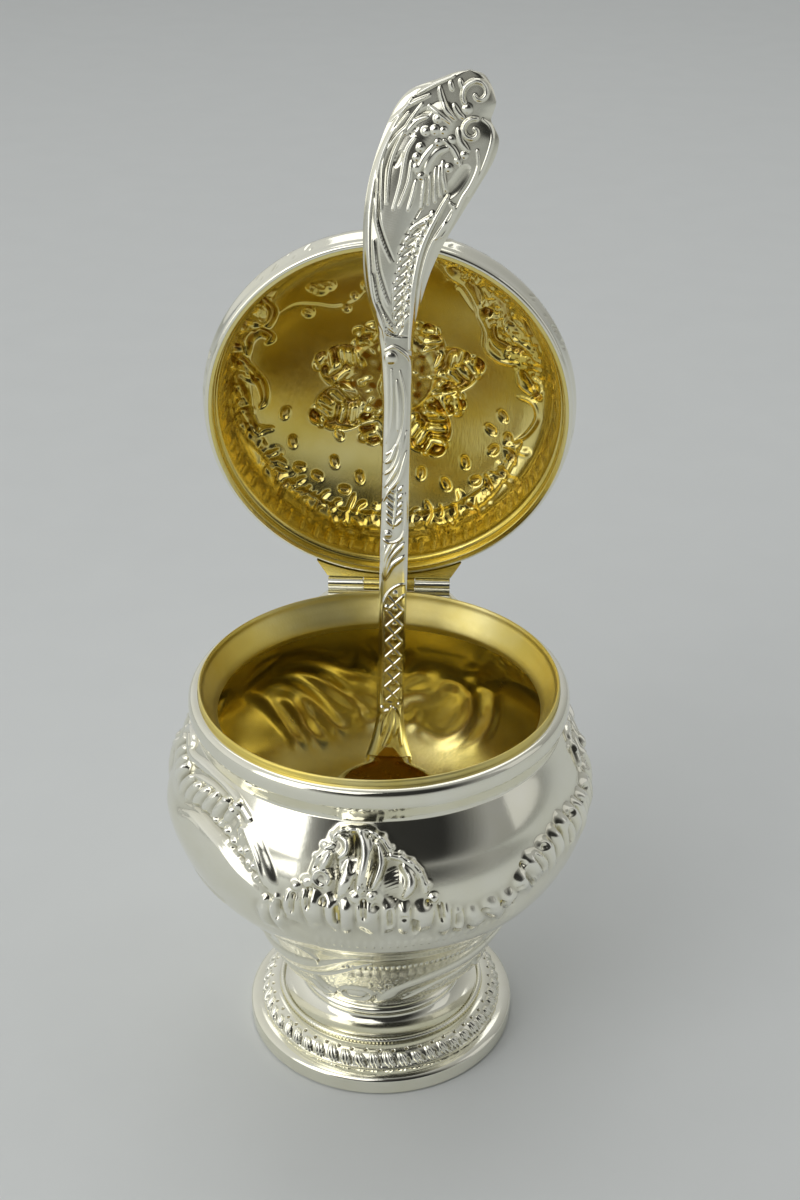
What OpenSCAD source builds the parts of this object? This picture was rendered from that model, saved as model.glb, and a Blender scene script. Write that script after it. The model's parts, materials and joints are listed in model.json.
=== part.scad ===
// Mustard pot of chased silver, gilt inside, with a hinged lid and a spoon.
// The origin is on the pot's axis at table level, +Z is up and the hinge is at the back, on +Y.
// The lid is drawn open, and the spoon stands in the pot and leans on the lid's front edge.

/* [Foot] */
// Outer diameter of the base ring
foot_d = 41.3; // [36:0.1:50]
// Height of the base ring's upright side
base_side_h = 2.2; // [1.2:0.1:4]
// Width of the rounded shoulder on the base ring
base_round_w = 2.0; // [1.2:0.1:2.6]
// Height of the rounded shoulder on the base ring
base_round_h = 0.9; // [0.4:0.1:1.6]
// Width of the base ring's flat seat for the foot
base_seat_w = 1.3; // [0.9:0.1:2]
// Width of the chased leaf band, seen from above
band_w = 2.6; // [1.6:0.1:3.4]
// Height of the chased leaf band
band_h = 2.5; // [1.5:0.1:4]
// Width of the step that carries the wire ring
wire_step_w = 1.0; // [0.8:0.05:1.4]
// Width of the wire ring
wire_w = 0.7; // [0.4:0.05:0.8]
// Height of the wire ring
wire_h = 0.75; // [0.4:0.05:1.2]
// Height of the cove above the wire ring's step
cove_h = 2.4; // [1.6:0.1:4]
// Diameter at the top of the cove
cove_top_d = 24.4; // [22:0.1:27]
// Thickness of the foot's sheet
foot_wall = 0.9; // [0.6:0.05:1.2]
// Height of the bead ring under the bowl
bead_h = 1.7; // [1:0.1:3]
// Projection of the bead ring beyond its seats
bead_out = 0.55; // [0.2:0.05:1]
// Radial width of the bead ring's seats
bead_seat_w = 2.8; // [1.5:0.1:4]

/* [Bowl] */
// Diameter of the bowl's bottom, where it stands on the bead ring
bottom_d = 24.8; // [23:0.1:28]
// Diameter of the rounded lower part
knop_d = 32.6; // [30:0.1:35]
// Height of the rounded lower part above the bowl's bottom
knop_rise = 4.7; // [4:0.1:5.5]
// Diameter of the waist
waist_d = 35.8; // [33:0.1:40]
// Height of the waist above the bowl's bottom
waist_rise = 8.8; // [7.5:0.1:11]
// Diameter of the flare above the waist
flare_d = 45.6; // [42:0.1:48]
// Height of the flare above the bowl's bottom
flare_rise = 18.0; // [16:0.1:20]
// Diameter of the swell under the belly
swell_d = 56.4; // [53:0.1:59]
// Height of the swell above the bowl's bottom
swell_rise = 25.4; // [23.5:0.1:27]
// Widest diameter of the bowl
belly_d = 61.8; // [58:0.1:66]
// Height of the widest part above the bowl's bottom
belly_rise = 33.2; // [31:0.1:35]
// Diameter of the shoulder
shoulder_d = 58.6; // [56:0.1:62]
// Height of the shoulder above the bowl's bottom
shoulder_rise = 39.2; // [37.5:0.1:41]
// Outer diameter of the neck
neck_d = 53.0; // [50:0.1:58]
// Height of the neck's top edge above the bowl's bottom
neck_rise = 44.9; // [43.5:0.1:50]
// Thickness of the bowl's sheet
wall = 1.0; // [0.7:0.05:1.3]
// Thickness of the bowl's floor
floor_t = 1.5; // [1:0.1:3]

/* [Mouth] */
// Projection of the rolled rim beyond the neck
rim_out = 1.0; // [0.6:0.05:2]
// Height of the rolled rim
rim_h = 5.3; // [4.6:0.1:7]
// Radius of the rim's upper edge
rim_edge = 0.8; // [0.4:0.05:1]
// Height of the upright band of the rim that the hinge plate is fixed to
rim_band_h = 2.0; // [1.9:0.1:2.6]
// Thickness of the upright collar inside the mouth
collar_t = 0.55; // [0.4:0.05:0.7]
// Height of the collar above the rim
collar_up = 0.9; // [0.5:0.1:1.5]

/* [Chased relief] */
// Height of the raised lobes on the body
chase_up = 0.7; // [0.5:0.05:0.9]
// Width of those lobes
chase_w = 1.9; // [1.6:0.05:2.1]
// Length of the slanted lobes in the border left of the shell
border_len = 3.9; // [3.7:0.1:4.4]
// Length of the slanted lobes in the fringe right of the shell
fringe_len = 5.2; // [4.2:0.1:6]
// Length of the flutes under the shell
flute_len = 6.6; // [5:0.1:7.5]
// Height of the shell's ribs
rib_up = 1.0; // [0.7:0.05:1.2]
// Length of the fronds at the back
frond_len = 11.0; // [9:0.1:12]
// Diameter of the ring scroll at the back
scroll_d = 7.6; // [6:0.1:9]
// Height of the lid's rosette
rosette_up = 1.15; // [0.8:0.05:1.3]
// Length of the rosette's leaves
rosette_len = 7.0; // [6.8:0.1:7.6]
// Width of the rosette's leaves
rosette_w = 4.2; // [3.6:0.1:4.3]
// Height of the ornament round the lid's edge
lid_edge_up = 0.6; // [0.4:0.05:0.8]
// Length of that ornament's lobes
lid_edge_len = 6.0; // [5.6:0.1:7]
// Width of that ornament's lobes
lid_edge_w = 3.0; // [2.6:0.1:3.2]

/* [Lid] */
// Gap between the closed lid and the rim
lid_gap = 0.3; // [0.2:0.05:0.5]
// Angle between the closed and the open lid
lid_open = 86.5; // [75:0.5:100]
// Projection of the lid's flat rim beyond the mouth rim
bezel_out = 0.15; // [0:0.05:0.5]
// Height of the flat rim
bezel_h = 1.5; // [1.3:0.1:2]
// Gap between the lid's flat rim and the mouth collar
bezel_gap = 0.3; // [0.2:0.05:0.6]
// Height of the moulded border
border_h = 4.9; // [4:0.1:6.5]
// Swell of the moulded border beyond the flat rim
border_swell = 0.4; // [0.1:0.05:1]
// Width of the border's inner hollow, measured inwards
cavetto_w = 1.35; // [0.6:0.05:2]
// Width of the border's seat for the dome
dome_seat_w = 1.3; // [1:0.05:1.8]
// Rise of the dome above the border
dome_rise = 8.6; // [6:0.1:14]
// Thickness of the dome's sheet
dome_wall = 0.9; // [0.6:0.05:1.2]
// Side clearance of the spoon's handle in the lid's notch
notch_side = 1.4; // [0.8:0.1:2]
// Height of the notch above the lid's edge
notch_h = 5.2; // [4.8:0.1:5.6]
// Radius of the notch's corners
notch_corner = 1.2; // [0.6:0.1:2]

/* [Hinge] */
// Distance of the hinge axis behind the mouth rim
hinge_back = 1.86; // [1.6:0.02:2.6]
// Length of the hinge barrel
hinge_len = 19.2; // [14:0.2:22]
// Length of the lid's knuckle
knuckle_len = 8.0; // [5:0.1:10]
// Diameter of the barrel
barrel_d = 2.2; // [1.8:0.05:2.4]
// Diameter of the pin
pin_d = 1.0; // [0.8:0.05:1.2]
// Radial clearance of the pin in the lid's knuckle
pin_run = 0.05; // [0.02:0.01:0.09]
// Gap between the knuckles
knuckle_gap = 0.12; // [0.08:0.02:0.2]
// Clearance of a turning knuckle in the other plate
swing_gap = 0.25; // [0.15:0.05:0.3]
// Width of the hinge plates at the rim
leaf_w = 22.8; // [21:0.1:25]
// Thickness of the hinge plates
leaf_t = 1.4; // [1.2:0.05:1.6]

/* [Finial] */
// Diameter of the flat seat on the dome's top
boss_d = 6.0; // [5:0.1:7]
// Height of that seat above the dome's crown
boss_up = 0.3; // [0.15:0.05:0.5]
// Diameter of the screw stem
stud_d = 1.6; // [1.2:0.1:2]
// Clearance of the stem in its hole
stud_gap = 0.05; // [0.03:0.01:0.1]
// Reach of the leaf bed from the axis
leaf_reach = 6.4; // [5.5:0.1:7.5]
// Thickness of the leaf bed
leaf_bed_t = 1.0; // [0.8:0.05:1.4]
// Number of leaves in the bed
leaf_count = 5; // [4:1:6]
// Diameter of the bud
bud_d = 8.0; // [7:0.1:10]
// Height of the bud
bud_h = 9.5; // [8:0.1:14]
// Number of lobes on the bud
bud_lobes = 6; // [4:1:8]
// Width across the flats of the nut
nut_flats = 2.8; // [2.6:0.1:4]
// Height of the nut
nut_h = 1.4; // [1:0.1:2]

/* [Spoon] */
// Length of the spoon's bowl
scoop_len = 27.4; // [24:0.1:29]
// Width of the spoon's bowl
scoop_w = 19.2; // [16:0.1:20]
// Depth of the spoon's bowl
scoop_depth = 4.2; // [3:0.1:4.6]
// Thickness of the spoon's bowl
scoop_t = 0.9; // [0.7:0.05:1.2]
// Width of the handle's straight part
handle_w = 4.2; // [3.8:0.1:5]
// Thickness of the handle
handle_t = 1.9; // [1.5:0.05:2.2]
// Length of the handle
handle_len = 103.2; // [98:0.2:112]
// Reach of the handle's scrolled end to the right of its axis
head_right = 13.1; // [10:0.1:15]
// Reach of the handle's scrolled end to the left of its axis
head_left = 5.4; // [4:0.1:7]
// Offset of the spoon to the right of the pot's axis
spoon_x = 0.25; // [-1:0.05:1]
// Sideways lean of the spoon
spoon_side_lean = 1.0; // [-1:0.1:2]
// Distance of the spoon's tip from the edge of the bowl's floor
tip_inset = 3.6; // [3:0.1:6]
// Gap between the spoon and what it stands on and leans on
spoon_gap = 0.4; // [0.2:0.05:0.6]

/* [Hidden] */
$fn = 96;
silver = "#d8d9da";
gilt = "#c8a648";
// Width of a soldered seam between two pieces that lie one inside the other
seam = 0.05;
// Length by which a cutting tool passes the surface it cuts
over = 1;
// Steps of each rounded stretch of a profile
round_steps = 6;
// Height of the lip at the top of the lid's border
border_lip = 0.8;
// Set-back of that lip from the flat rim's edge
border_lip_back = 0.6;
// Radius of the rounded edges of the lid's flat rim
bezel_edge = 0.3;

// Foot, from the table upwards
foot_r = foot_d / 2;
base_top = base_side_h + base_round_h;
seat_r = foot_r - base_round_w;
band_top = base_top + band_h;
step_r = seat_r - band_w;
cove_r = step_r - wire_step_w;
cove_top = band_top + cove_h;
cove_top_r = cove_top_d / 2;
bottom_z = cove_top + bead_h;

// Bowl, on the bead ring
bottom_r = bottom_d / 2;
floor_z = bottom_z + floor_t;
neck_z = bottom_z + neck_rise;
neck_r = neck_d / 2;
bead_r = min(cove_top_r, bottom_r);
bead_in_r = bead_r - bead_seat_w;

// Mouth, on the neck's top edge
mouth_r = neck_r - wall;
collar_r = mouth_r + collar_t;
rim_r = neck_r + rim_out;
rim_top = neck_z + rim_h;
rim_band_top = rim_top - rim_edge;
rim_band_low = rim_band_top - rim_band_h;

// Hinge axis and lid, which are described with the lid closed
hinge_y = rim_r + hinge_back;
hinge_z = rim_top + lid_gap;
barrel_r = barrel_d / 2;
pin_r = pin_d / 2;
side_len = (hinge_len - knuckle_len) / 2 - knuckle_gap;
bezel_r = rim_r + bezel_out;
bezel_in_r = collar_r + bezel_gap;
border_top = bezel_h + border_h;
dome_r = bezel_in_r - cavetto_w + dome_wall;
crown_z = border_top + dome_rise;
boss_z = crown_z + boss_up;
stud_r = stud_d / 2;
bud_z = boss_z + leaf_bed_t;
nut_top = crown_z - dome_wall;

// Spoon: its tip stands on the bowl's floor and its handle leans on the open lid's front edge
tip_y = lookup(floor_z, bowl_radius_at()) - wall - tip_inset;
tip_z = floor_z + spoon_gap;
lid_edge_y = hinge_y - (hinge_y + bezel_r) * cos(lid_open);
lid_edge_z = hinge_z + (hinge_y + bezel_r) * sin(lid_open);
lean_reach = norm([lid_edge_y - tip_y, lid_edge_z - tip_z]);
spoon_lean = atan2(lid_edge_y - tip_y, lid_edge_z - tip_z) - asin((handle_t / 2 + spoon_gap) / lean_reach);
notch_x = spoon_x + (hinge_z - tip_z) * tan(spoon_side_lean);
notch_w = handle_w + 2 * notch_side;

// A smooth curve through points, with n steps between each two of them
function through(a, b, c, d, t) =
    (2 * b + (c - a) * t + (2 * a - 5 * b + 4 * c - d) * t * t + (3 * b - a - 3 * c + d) * t * t * t) / 2;

function curve(p, n) = concat(
    [for (i = [0:len(p) - 2]) for (k = [0:n - 1])
        through(p[max(i - 1, 0)], p[i], p[i + 1], p[min(i + 2, len(p) - 1)], k / n)],
    [p[len(p) - 1]]
);

// A quarter of an ellipse round a centre, from one angle to another
function arc(centre, rx, rz, from, to) =
    [for (k = [0:round_steps]) centre
        + [rx * cos(from + (to - from) * k / round_steps), rz * sin(from + (to - from) * k / round_steps)]];

// Outer profile of the bowl from its bottom to its neck, as radius and height
function bowl_outline() = curve([
    [bottom_r, bottom_z],
    [knop_d / 2, bottom_z + knop_rise],
    [waist_d / 2, bottom_z + waist_rise],
    [flare_d / 2, bottom_z + flare_rise],
    [swell_d / 2, bottom_z + swell_rise],
    [belly_d / 2, bottom_z + belly_rise],
    [shoulder_d / 2, bottom_z + shoulder_rise],
    [neck_r, neck_z]
], 5);

// Height and radius pairs of the bowl's outer profile
function bowl_radius_at() = [for (p = bowl_outline()) [p[1], p[0]]];

module ring(points) {
    rotate_extrude() polygon(points);
}

// Moves what is drawn for the closed lid to the open lid
module opened() {
    translate([0, hinge_y, hinge_z])
        rotate([-lid_open, 0, 0])
            translate([0, -hinge_y, 0])
                children();
}

// A cylinder along the hinge axis, between two places along X
module along_hinge(r, from, to, z) {
    translate([from, hinge_y, z])
        rotate([0, 90, 0])
            cylinder(r = r, h = to - from);
}

// A raised lobe along Y on a surface that faces +Z: a ring that dips into the surface at both ends.
// bow is the curvature of the surface along the lobe, and inset makes the lobe's hollow underside
module lobe(length, width, up, bow, inset) {
    cross_r = (width * width / 4 + up * up) / (2 * up);
    crest = up + bow * length * length / 8;
    arch_r = (length * length / 4 + crest * crest) / (2 * crest);
    translate([0, 0, up - arch_r])
        rotate([0, 90, 0])
            rotate_extrude()
                translate([arch_r - cross_r, 0])
                    circle(cross_r - inset);
}

// Puts what is drawn on a surface facing +Z, with +Y upwards, on the bowl: angle is measured from
// the front to the right, and share is a share of the bowl's height
module on_bowl(angle, share) {
    z = bottom_z + neck_rise * share;
    step = neck_rise / 50;
    fall = lookup(z - step, bowl_radius_at()) - lookup(z + step, bowl_radius_at());
    rotate(angle)
        translate([0, -lookup(z, bowl_radius_at()), z])
            rotate([90 - atan2(fall, 2 * step), 0, 0])
                children();
}

// Middle line of the border left of the shell, and of the fringe right of it
border_line = [
    [-98, 0.900], [-86, 0.922], [-72, 0.930], [-58, 0.930], [-46, 0.920], [-37, 0.880], [-30, 0.820]
];
fringe_line = [
    [28, 0.650], [36, 0.665], [44, 0.750], [54, 0.768], [62, 0.788], [72, 0.783], [82, 0.795], [92, 0.845]
];
// Lean of the fringe's lobes along that line
fringe_lean = [[28, 18], [40, 32], [50, 30], [58, 17], [92, 12]];
// Angle, height, lean and length of each rib of the shell, the lengths as multiples of a flute's
shell_ribs = [
    [-1.4, 0.895, -6, 1.1], [3.4, 0.885, 8, 0.95], [-7.6, 0.895, 16, 0.75],
    [10.2, 0.825, -8, 0.85], [-11.8, 0.850, 16, 0.7], [-15.4, 0.800, 8, 0.7]
];
// Angle, height and lean of each frond at the back
fronds = [[-143, 0.635, 38], [-150, 0.630, 46], [-157.5, 0.655, 58], [-162, 0.720, 74]];

// Ornament raised from the bowl's sheet
module bowl_relief() {
    bow = 2 / belly_d;
    for (half = [0, 180])
        for (a = [-95:4.9:-34])
            on_bowl(a + half, lookup(a, border_line))
                rotate(-24) lobe(border_len, chase_w, chase_up, bow, 0);
    for (start = [[29.7, 0], [58.2, 180]])
        for (a = [start[0]:4.75:90])
            on_bowl(a + start[1], lookup(a, fringe_line))
                rotate(lookup(a, fringe_lean)) lobe(fringe_len, chase_w, chase_up, bow, 0);
    for (i = [-6:6])
        on_bowl(4.2 * i, 0.697)
            rotate(-1.2 * i) lobe(flute_len, chase_w, chase_up, bow, 0);
    for (r = shell_ribs)
        on_bowl(r[0], r[1])
            rotate(-r[2]) lobe(flute_len * r[3], chase_w, rib_up, bow, 0);
    for (f = fronds)
        on_bowl(f[0], f[1])
            rotate(-f[2]) lobe(frond_len, chase_w, rib_up, bow, 0);
    for (i = [-2:2])
        on_bowl(180.5 + 4.6 * i, 0.79 - 0.012 * i * i)
            rotate(-7 * i) lobe(1.4 * flute_len, chase_w, chase_up, bow, 0);
    on_bowl(160, 0.64)
        rotate_extrude()
            translate([scroll_d / 2, 0])
                circle(chase_up);
}

module bowl() {
    outer = bowl_outline();
    inner = [for (p = outer) if (p[1] > floor_z) [p[0] - wall, p[1]]];
    floor_edge = [lookup(floor_z, bowl_radius_at()) - wall, floor_z];
    color(silver)
        difference() {
            union() {
                ring(concat([[0, bottom_z]], outer, [[0, neck_z]]));
                bowl_relief();
            }
            ring(concat([[0, floor_z], floor_edge], inner, [[mouth_r, neck_z + over], [0, neck_z + over]]));
        }
}

module mouth_rim() {
    edge = arc([rim_r - rim_edge, rim_band_top], rim_edge, rim_edge, 0, 90);
    roll = arc([neck_r, rim_band_low], rim_out, rim_band_low - neck_z, -90, 0);
    in_r = collar_r + seam;
    color(silver)
        ring(concat([[in_r, neck_z]], roll, edge, [[in_r, rim_top]]));
}

module mouth_collar() {
    lip = collar_t / 2;
    top = rim_top + collar_up;
    color(gilt)
        ring(concat(
            [[mouth_r, neck_z], [collar_r, neck_z]],
            arc([mouth_r + lip, top - lip], lip, lip, 0, 180)
        ));
}

module stem_collar() {
    color(silver)
        ring(concat(
            [[bead_in_r, cove_top]],
            arc([bead_r - bead_out, cove_top + bead_h / 2], 2 * bead_out, bead_h / 2, -90, 90),
            [[bead_in_r, bottom_z]]
        ));
}

module foot_dome() {
    band = arc([step_r, base_top], band_w - seam, band_h, 0, 90);
    cove_foot = band_top + wire_h * 0.8;
    cove = arc([cove_r, cove_top], cove_r - cove_top_r, cove_top - cove_foot, -90, -180);
    under_step = band_top - foot_wall;
    in_r = cove_r - foot_wall;
    under_top = cove_top - foot_wall;
    color(silver)
        ring(concat(
            band, [[cove_r, band_top]], cove,
            [[bead_in_r, cove_top], [bead_in_r, under_top], [cove_top_r - foot_wall, under_top],
             [in_r, cove_foot - foot_wall], [in_r, under_step], [step_r - foot_wall, under_step],
             [seat_r - base_seat_w + seam, base_top]]
        ));
}

module foot_wire() {
    mid_r = cove_r + wire_step_w / 2;
    side_h = wire_h - wire_w / 2;
    color(silver)
        ring(concat(
            [[mid_r - wire_w / 2, band_top], [mid_r + wire_w / 2, band_top]],
            arc([mid_r, band_top + side_h], wire_w / 2, wire_w / 2, 0, 180)
        ));
}

module foot_ring() {
    in_r = seat_r - base_seat_w;
    color(silver)
        ring(concat(
            [[in_r, 0], [foot_r, 0]],
            arc([seat_r, base_side_h], base_round_w, base_round_h, 0, 90),
            [[in_r, base_top]]
        ));
}

// A hinge plate from the rim to the barrel, cut to the rim and to the knuckles
module hinge_leaf(low, high, fixed_r, end_y, own, other, axis_z) {
    half = hinge_len / 2;
    centre = knuckle_len / 2 + knuckle_gap / 2;
    rim_y = sqrt(fixed_r * fixed_r - leaf_w * leaf_w / 4);
    difference() {
        translate([0, 0, low])
            linear_extrude(high - low)
                polygon([[-leaf_w / 2, rim_y], [leaf_w / 2, rim_y], [half, hinge_y - barrel_r], [half, end_y],
                         [-half, end_y], [-half, hinge_y - barrel_r]]);
        translate([0, 0, low - over])
            cylinder(r = fixed_r + seam, h = high - low + 2 * over);
        along_hinge(barrel_r + own, -centre, centre, axis_z);
        along_hinge(barrel_r + other, -half - over, -centre, axis_z);
        along_hinge(barrel_r + other, centre, half + over, axis_z);
    }
}

module hinge_leaf_body() {
    top = hinge_z - barrel_r * 0.6;
    low = rim_band_top - leaf_t;
    color(silver)
        hinge_leaf(low, top, rim_r, hinge_y + barrel_r * 0.5, swing_gap, seam, hinge_z);
}

module hinge_leaf_lid() {
    color(gilt)
        opened() hinge_leaf(0, leaf_t, bezel_r, hinge_y - barrel_r * 0.3, seam, swing_gap, 0);
}

module knuckle(from, to, bore_r, z) {
    difference() {
        along_hinge(barrel_r, from, to, z);
        along_hinge(bore_r, from - over, to + over, z);
    }
}

module hinge_knuckle_left() {
    start = -hinge_len / 2;
    color(silver)
        knuckle(start, start + side_len, pin_r + pin_run / 5, hinge_z);
}

module hinge_knuckle_right() {
    end = hinge_len / 2;
    color(silver)
        knuckle(end - side_len, end, pin_r + pin_run / 5, hinge_z);
}

module hinge_knuckle_centre() {
    color(gilt)
        opened() knuckle(-knuckle_len / 2, knuckle_len / 2, pin_r + pin_run, 0);
}

module hinge_pin() {
    color(silver)
        along_hinge(pin_r, -hinge_len / 2, hinge_len / 2, hinge_z);
}

// The spoon's notch in the front of the lid
module notch() {
    depth = bezel_r - bezel_in_r + cavetto_w + border_swell;
    half = notch_w / 2;
    translate([notch_x, -bezel_in_r + cavetto_w + over, 0])
        rotate([90, 0, 0])
            linear_extrude(depth + 3 * over)
                union() {
                    translate([-half, -over])
                        square([notch_w, notch_h + over - notch_corner]);
                    translate([-half + notch_corner, -over])
                        square([notch_w - 2 * notch_corner, notch_h + over]);
                    for (side = [-1, 1])
                        translate([side * (half - notch_corner), notch_h - notch_corner])
                            circle(notch_corner);
                }
}

module lid_bezel() {
    color(gilt)
        opened() difference() {
            ring(concat(
                arc([bezel_r - bezel_edge, bezel_edge], bezel_edge, bezel_edge, -90, 0),
                [[bezel_r, bezel_h], [bezel_in_r, bezel_h]],
                arc([bezel_in_r + bezel_edge, bezel_edge], bezel_edge, bezel_edge, 180, 270)
            ));
            notch();
        }
}

module lid_border() {
    swell = [for (k = [0:round_steps])
        [bezel_r - seam + border_swell * sin(180 * k / round_steps),
         bezel_h + (border_h - 1.5 * border_lip) * k / round_steps]];
    shoulder_r = dome_r - dome_wall + dome_seat_w;
    cavetto = arc([bezel_in_r, border_top - border_lip], cavetto_w, border_h - border_lip, 180, 270);
    color(silver)
        opened() difference() {
            ring(concat(
                swell, [[bezel_r - border_lip_back, border_top - border_lip], [shoulder_r, border_top]],
                [[dome_r - dome_wall, border_top]], cavetto
            ));
            notch();
        }
}

// Height of the dome's outer surface at a distance from the axis
function dome_at(r) = border_top + dome_rise * sqrt(1 - r * r / (dome_r * dome_r));

// Puts what is drawn on a surface facing +Z, with +Y away from the axis, on the closed lid's dome
module on_dome(angle, r) {
    fall = dome_rise * r / (dome_r * dome_r * sqrt(1 - r * r / (dome_r * dome_r)));
    rotate(angle - 90)
        translate([0, r, dome_at(r)])
            rotate([-atan(fall), 0, 0])
                children();
}

// Directions of the rosette's leaves, from the right towards the hinge
rosette_turns = [16, 62, 112, 162, 202, 250, 292, 340];

// Ornament raised from the dome's sheet, and with an inset its hollow underside
module dome_relief(inset) {
    bow = dome_rise / (dome_r * dome_r);
    for (a = rosette_turns)
        on_dome(a, leaf_reach + rosette_len / 2 + seam)
            lobe(rosette_len, rosette_w, rosette_up, bow, inset);
    for (i = [0:14])
        on_dome(24 * i + 6, 0.8 * dome_r)
            rotate(70) lobe(lid_edge_len, lid_edge_w, lid_edge_up, 2 * bow, inset);
}

// A solid under a dome on the lid's border
module under_dome(r, rise) {
    steps = 3 * round_steps;
    ring(concat(
        [for (k = [0:steps]) [r * cos(90 * k / steps), border_top + rise * sin(90 * k / steps)]],
        [[0, border_top]]
    ));
}

module lid_dome() {
    color(silver)
        opened() difference() {
            union() {
                under_dome(dome_r, dome_rise);
                dome_relief(0);
                translate([0, 0, nut_top + dome_wall / 2])
                    cylinder(d = boss_d, h = boss_z - nut_top - dome_wall / 2);
            }
            under_dome(dome_r - dome_wall, dome_rise - dome_wall);
            dome_relief(dome_wall);
            translate([0, 0, border_top - dome_r])
                cylinder(r = dome_r + over, h = dome_r);
            translate([0, 0, nut_top - over])
                cylinder(r = stud_r + stud_gap, h = boss_z - nut_top + 2 * over);
        }
}

module finial_leaves() {
    steps = 5;
    under = [for (k = [0:steps]) let (r = boss_d / 2 + (leaf_reach - boss_d / 2) * k / steps)
        [r, dome_at(r) + boss_up]];
    upper = [for (k = [steps:-1:0]) [under[k][0], under[k][1] + leaf_bed_t * (1 - 0.5 * k / steps)]];
    bore_r = stud_r + stud_gap;
    lobe_r = leaf_reach * 0.4;
    color(silver)
        opened() intersection() {
            ring(concat([[bore_r, boss_z], [boss_d / 2, boss_z]], under, upper, [[bore_r, bud_z]]));
            translate([0, 0, crown_z - dome_rise / 2])
                linear_extrude(dome_rise)
                    union() {
                        circle(leaf_reach * 0.62);
                        for (i = [0:leaf_count - 1])
                            rotate(360 * i / leaf_count + 90)
                                translate([leaf_reach - lobe_r, 0])
                                    circle(lobe_r);
                    }
        }
}

// Radius of the bud at a share of its height and at an angle
function bud_r(t, a) =
    bud_d / 2 * (0.55 + 0.9 * t - 1.45 * pow(t, 2.6)) * (1 + 0.07 * cos(bud_lobes * (a + 60 * t)));

module finial_bud() {
    around = 48;
    rings = 12;
    points = concat(
        [for (j = [0:rings]) for (i = [0:around - 1]) let (t = 0.99 * j / rings, a = 360 * i / around)
            [bud_r(t, a) * cos(a), bud_r(t, a) * sin(a), bud_z + bud_h * t]],
        [[0, 0, bud_z], [0, 0, bud_z + bud_h]]
    );
    low = around * (rings + 1);
    faces = concat(
        [for (j = [0:rings - 1]) for (i = [0:around - 1]) let (n = (i + 1) % around)
            [j * around + i, (j + 1) * around + i, (j + 1) * around + n]],
        [for (j = [0:rings - 1]) for (i = [0:around - 1]) let (n = (i + 1) % around)
            [j * around + i, (j + 1) * around + n, j * around + n]],
        [for (i = [0:around - 1]) [low, i, (i + 1) % around]],
        [for (i = [0:around - 1]) [low + 1, rings * around + (i + 1) % around, rings * around + i]]
    );
    color(silver)
        opened() difference() {
            polyhedron(points, faces);
            translate([0, 0, bud_z - over])
                cylinder(r = stud_r + stud_gap, h = bud_h / 3 + over);
        }
}

module finial_stud() {
    top = bud_z + bud_h / 3 - seam;
    color(silver)
        opened() translate([0, 0, nut_top - nut_h])
            cylinder(r = stud_r, h = top - nut_top + nut_h);
}

module finial_nut() {
    color(gilt)
        opened() translate([0, 0, nut_top - nut_h - seam])
            difference() {
                cylinder(d = nut_flats / cos(30), h = nut_h, $fn = 6);
                translate([0, 0, -over]) cylinder(r = stud_r + stud_gap, h = nut_h + 2 * over);
            }
}

// Half widths of the spoon to the left and to the right of its axis, along its length from the tip
shank = handle_w / 2;
// Widening of the handle where it meets the spoon's bowl
neck_flare = 1.2;
spoon_left = curve([
    [shank + neck_flare, scoop_len], [shank + 0.1, scoop_len + 6],
    [shank, scoop_len + 12], [shank, scoop_len + 50],
    [shank + 0.2, scoop_len + 60], [shank + 1.1, scoop_len + handle_len - 36],
    [head_left - 0.5, scoop_len + handle_len - 30.5], [head_left, scoop_len + handle_len - 24],
    [head_left - 0.2, scoop_len + handle_len - 18], [head_left - 1.2, scoop_len + handle_len - 13],
    [head_left - 2.7, scoop_len + handle_len - 8.4], [head_left - 4.3, scoop_len + handle_len - 4.8],
    [head_left - 6.4, scoop_len + handle_len - 2.6], [head_left - 10.0, scoop_len + handle_len - 1.2],
    [head_left - 12.0, scoop_len + handle_len - 0.4], [head_left - 13.8, scoop_len + handle_len]
], 4);
spoon_right = curve([
    [shank + neck_flare, scoop_len], [shank + 0.1, scoop_len + 6],
    [shank, scoop_len + 12], [shank, scoop_len + 50],
    [shank, scoop_len + 60], [shank, scoop_len + handle_len - 37], [shank + 0.9, scoop_len + handle_len - 32],
    [head_right - 7.8, scoop_len + handle_len - 25], [head_right - 3.2, scoop_len + handle_len - 16.7],
    [head_right - 0.7, scoop_len + handle_len - 12.2], [head_right, scoop_len + handle_len - 9],
    [head_right - 1.2, scoop_len + handle_len - 6.6], [head_right - 0.6, scoop_len + handle_len - 4.5],
    [head_right - 1.0, scoop_len + handle_len - 2.6], [head_right - 1.9, scoop_len + handle_len - 1],
    [head_right - 2.6, scoop_len + handle_len - 0.4], [head_right - 4.0, scoop_len + handle_len]
], 4);

// Half width of the spoon's oval bowl at a distance from its tip
function scoop_half(s) =
    max(0.5, scoop_w / 2 * sqrt(max(0, 1 - pow(abs(s / scoop_len * 2 - 0.92) / 1.02, 2.2))));
function half_at(table, s) = lookup(s, [for (p = table) [p[1], p[0]]]);
function neck_half(s) = max(scoop_half(s), s > scoop_len * 0.8 ? shank + neck_flare : 0);
function left_at(s) = s < scoop_len ? -neck_half(s) : -half_at(spoon_left, s);
function right_at(s) = s < scoop_len ? neck_half(s) : half_at(spoon_right, s);

// Depth of the spoon's bowl at a distance from its tip, and the spoon's thickness there
function depth_at(s) = s < scoop_len ? scoop_depth * pow(sin(180 * min(1, s / scoop_len)), 0.7) : 0;
function thick_at(s) =
    scoop_t + (handle_t - scoop_t) * min(1, max(0, (s - scoop_len * 0.8) / (scoop_len * 0.4)));

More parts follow.
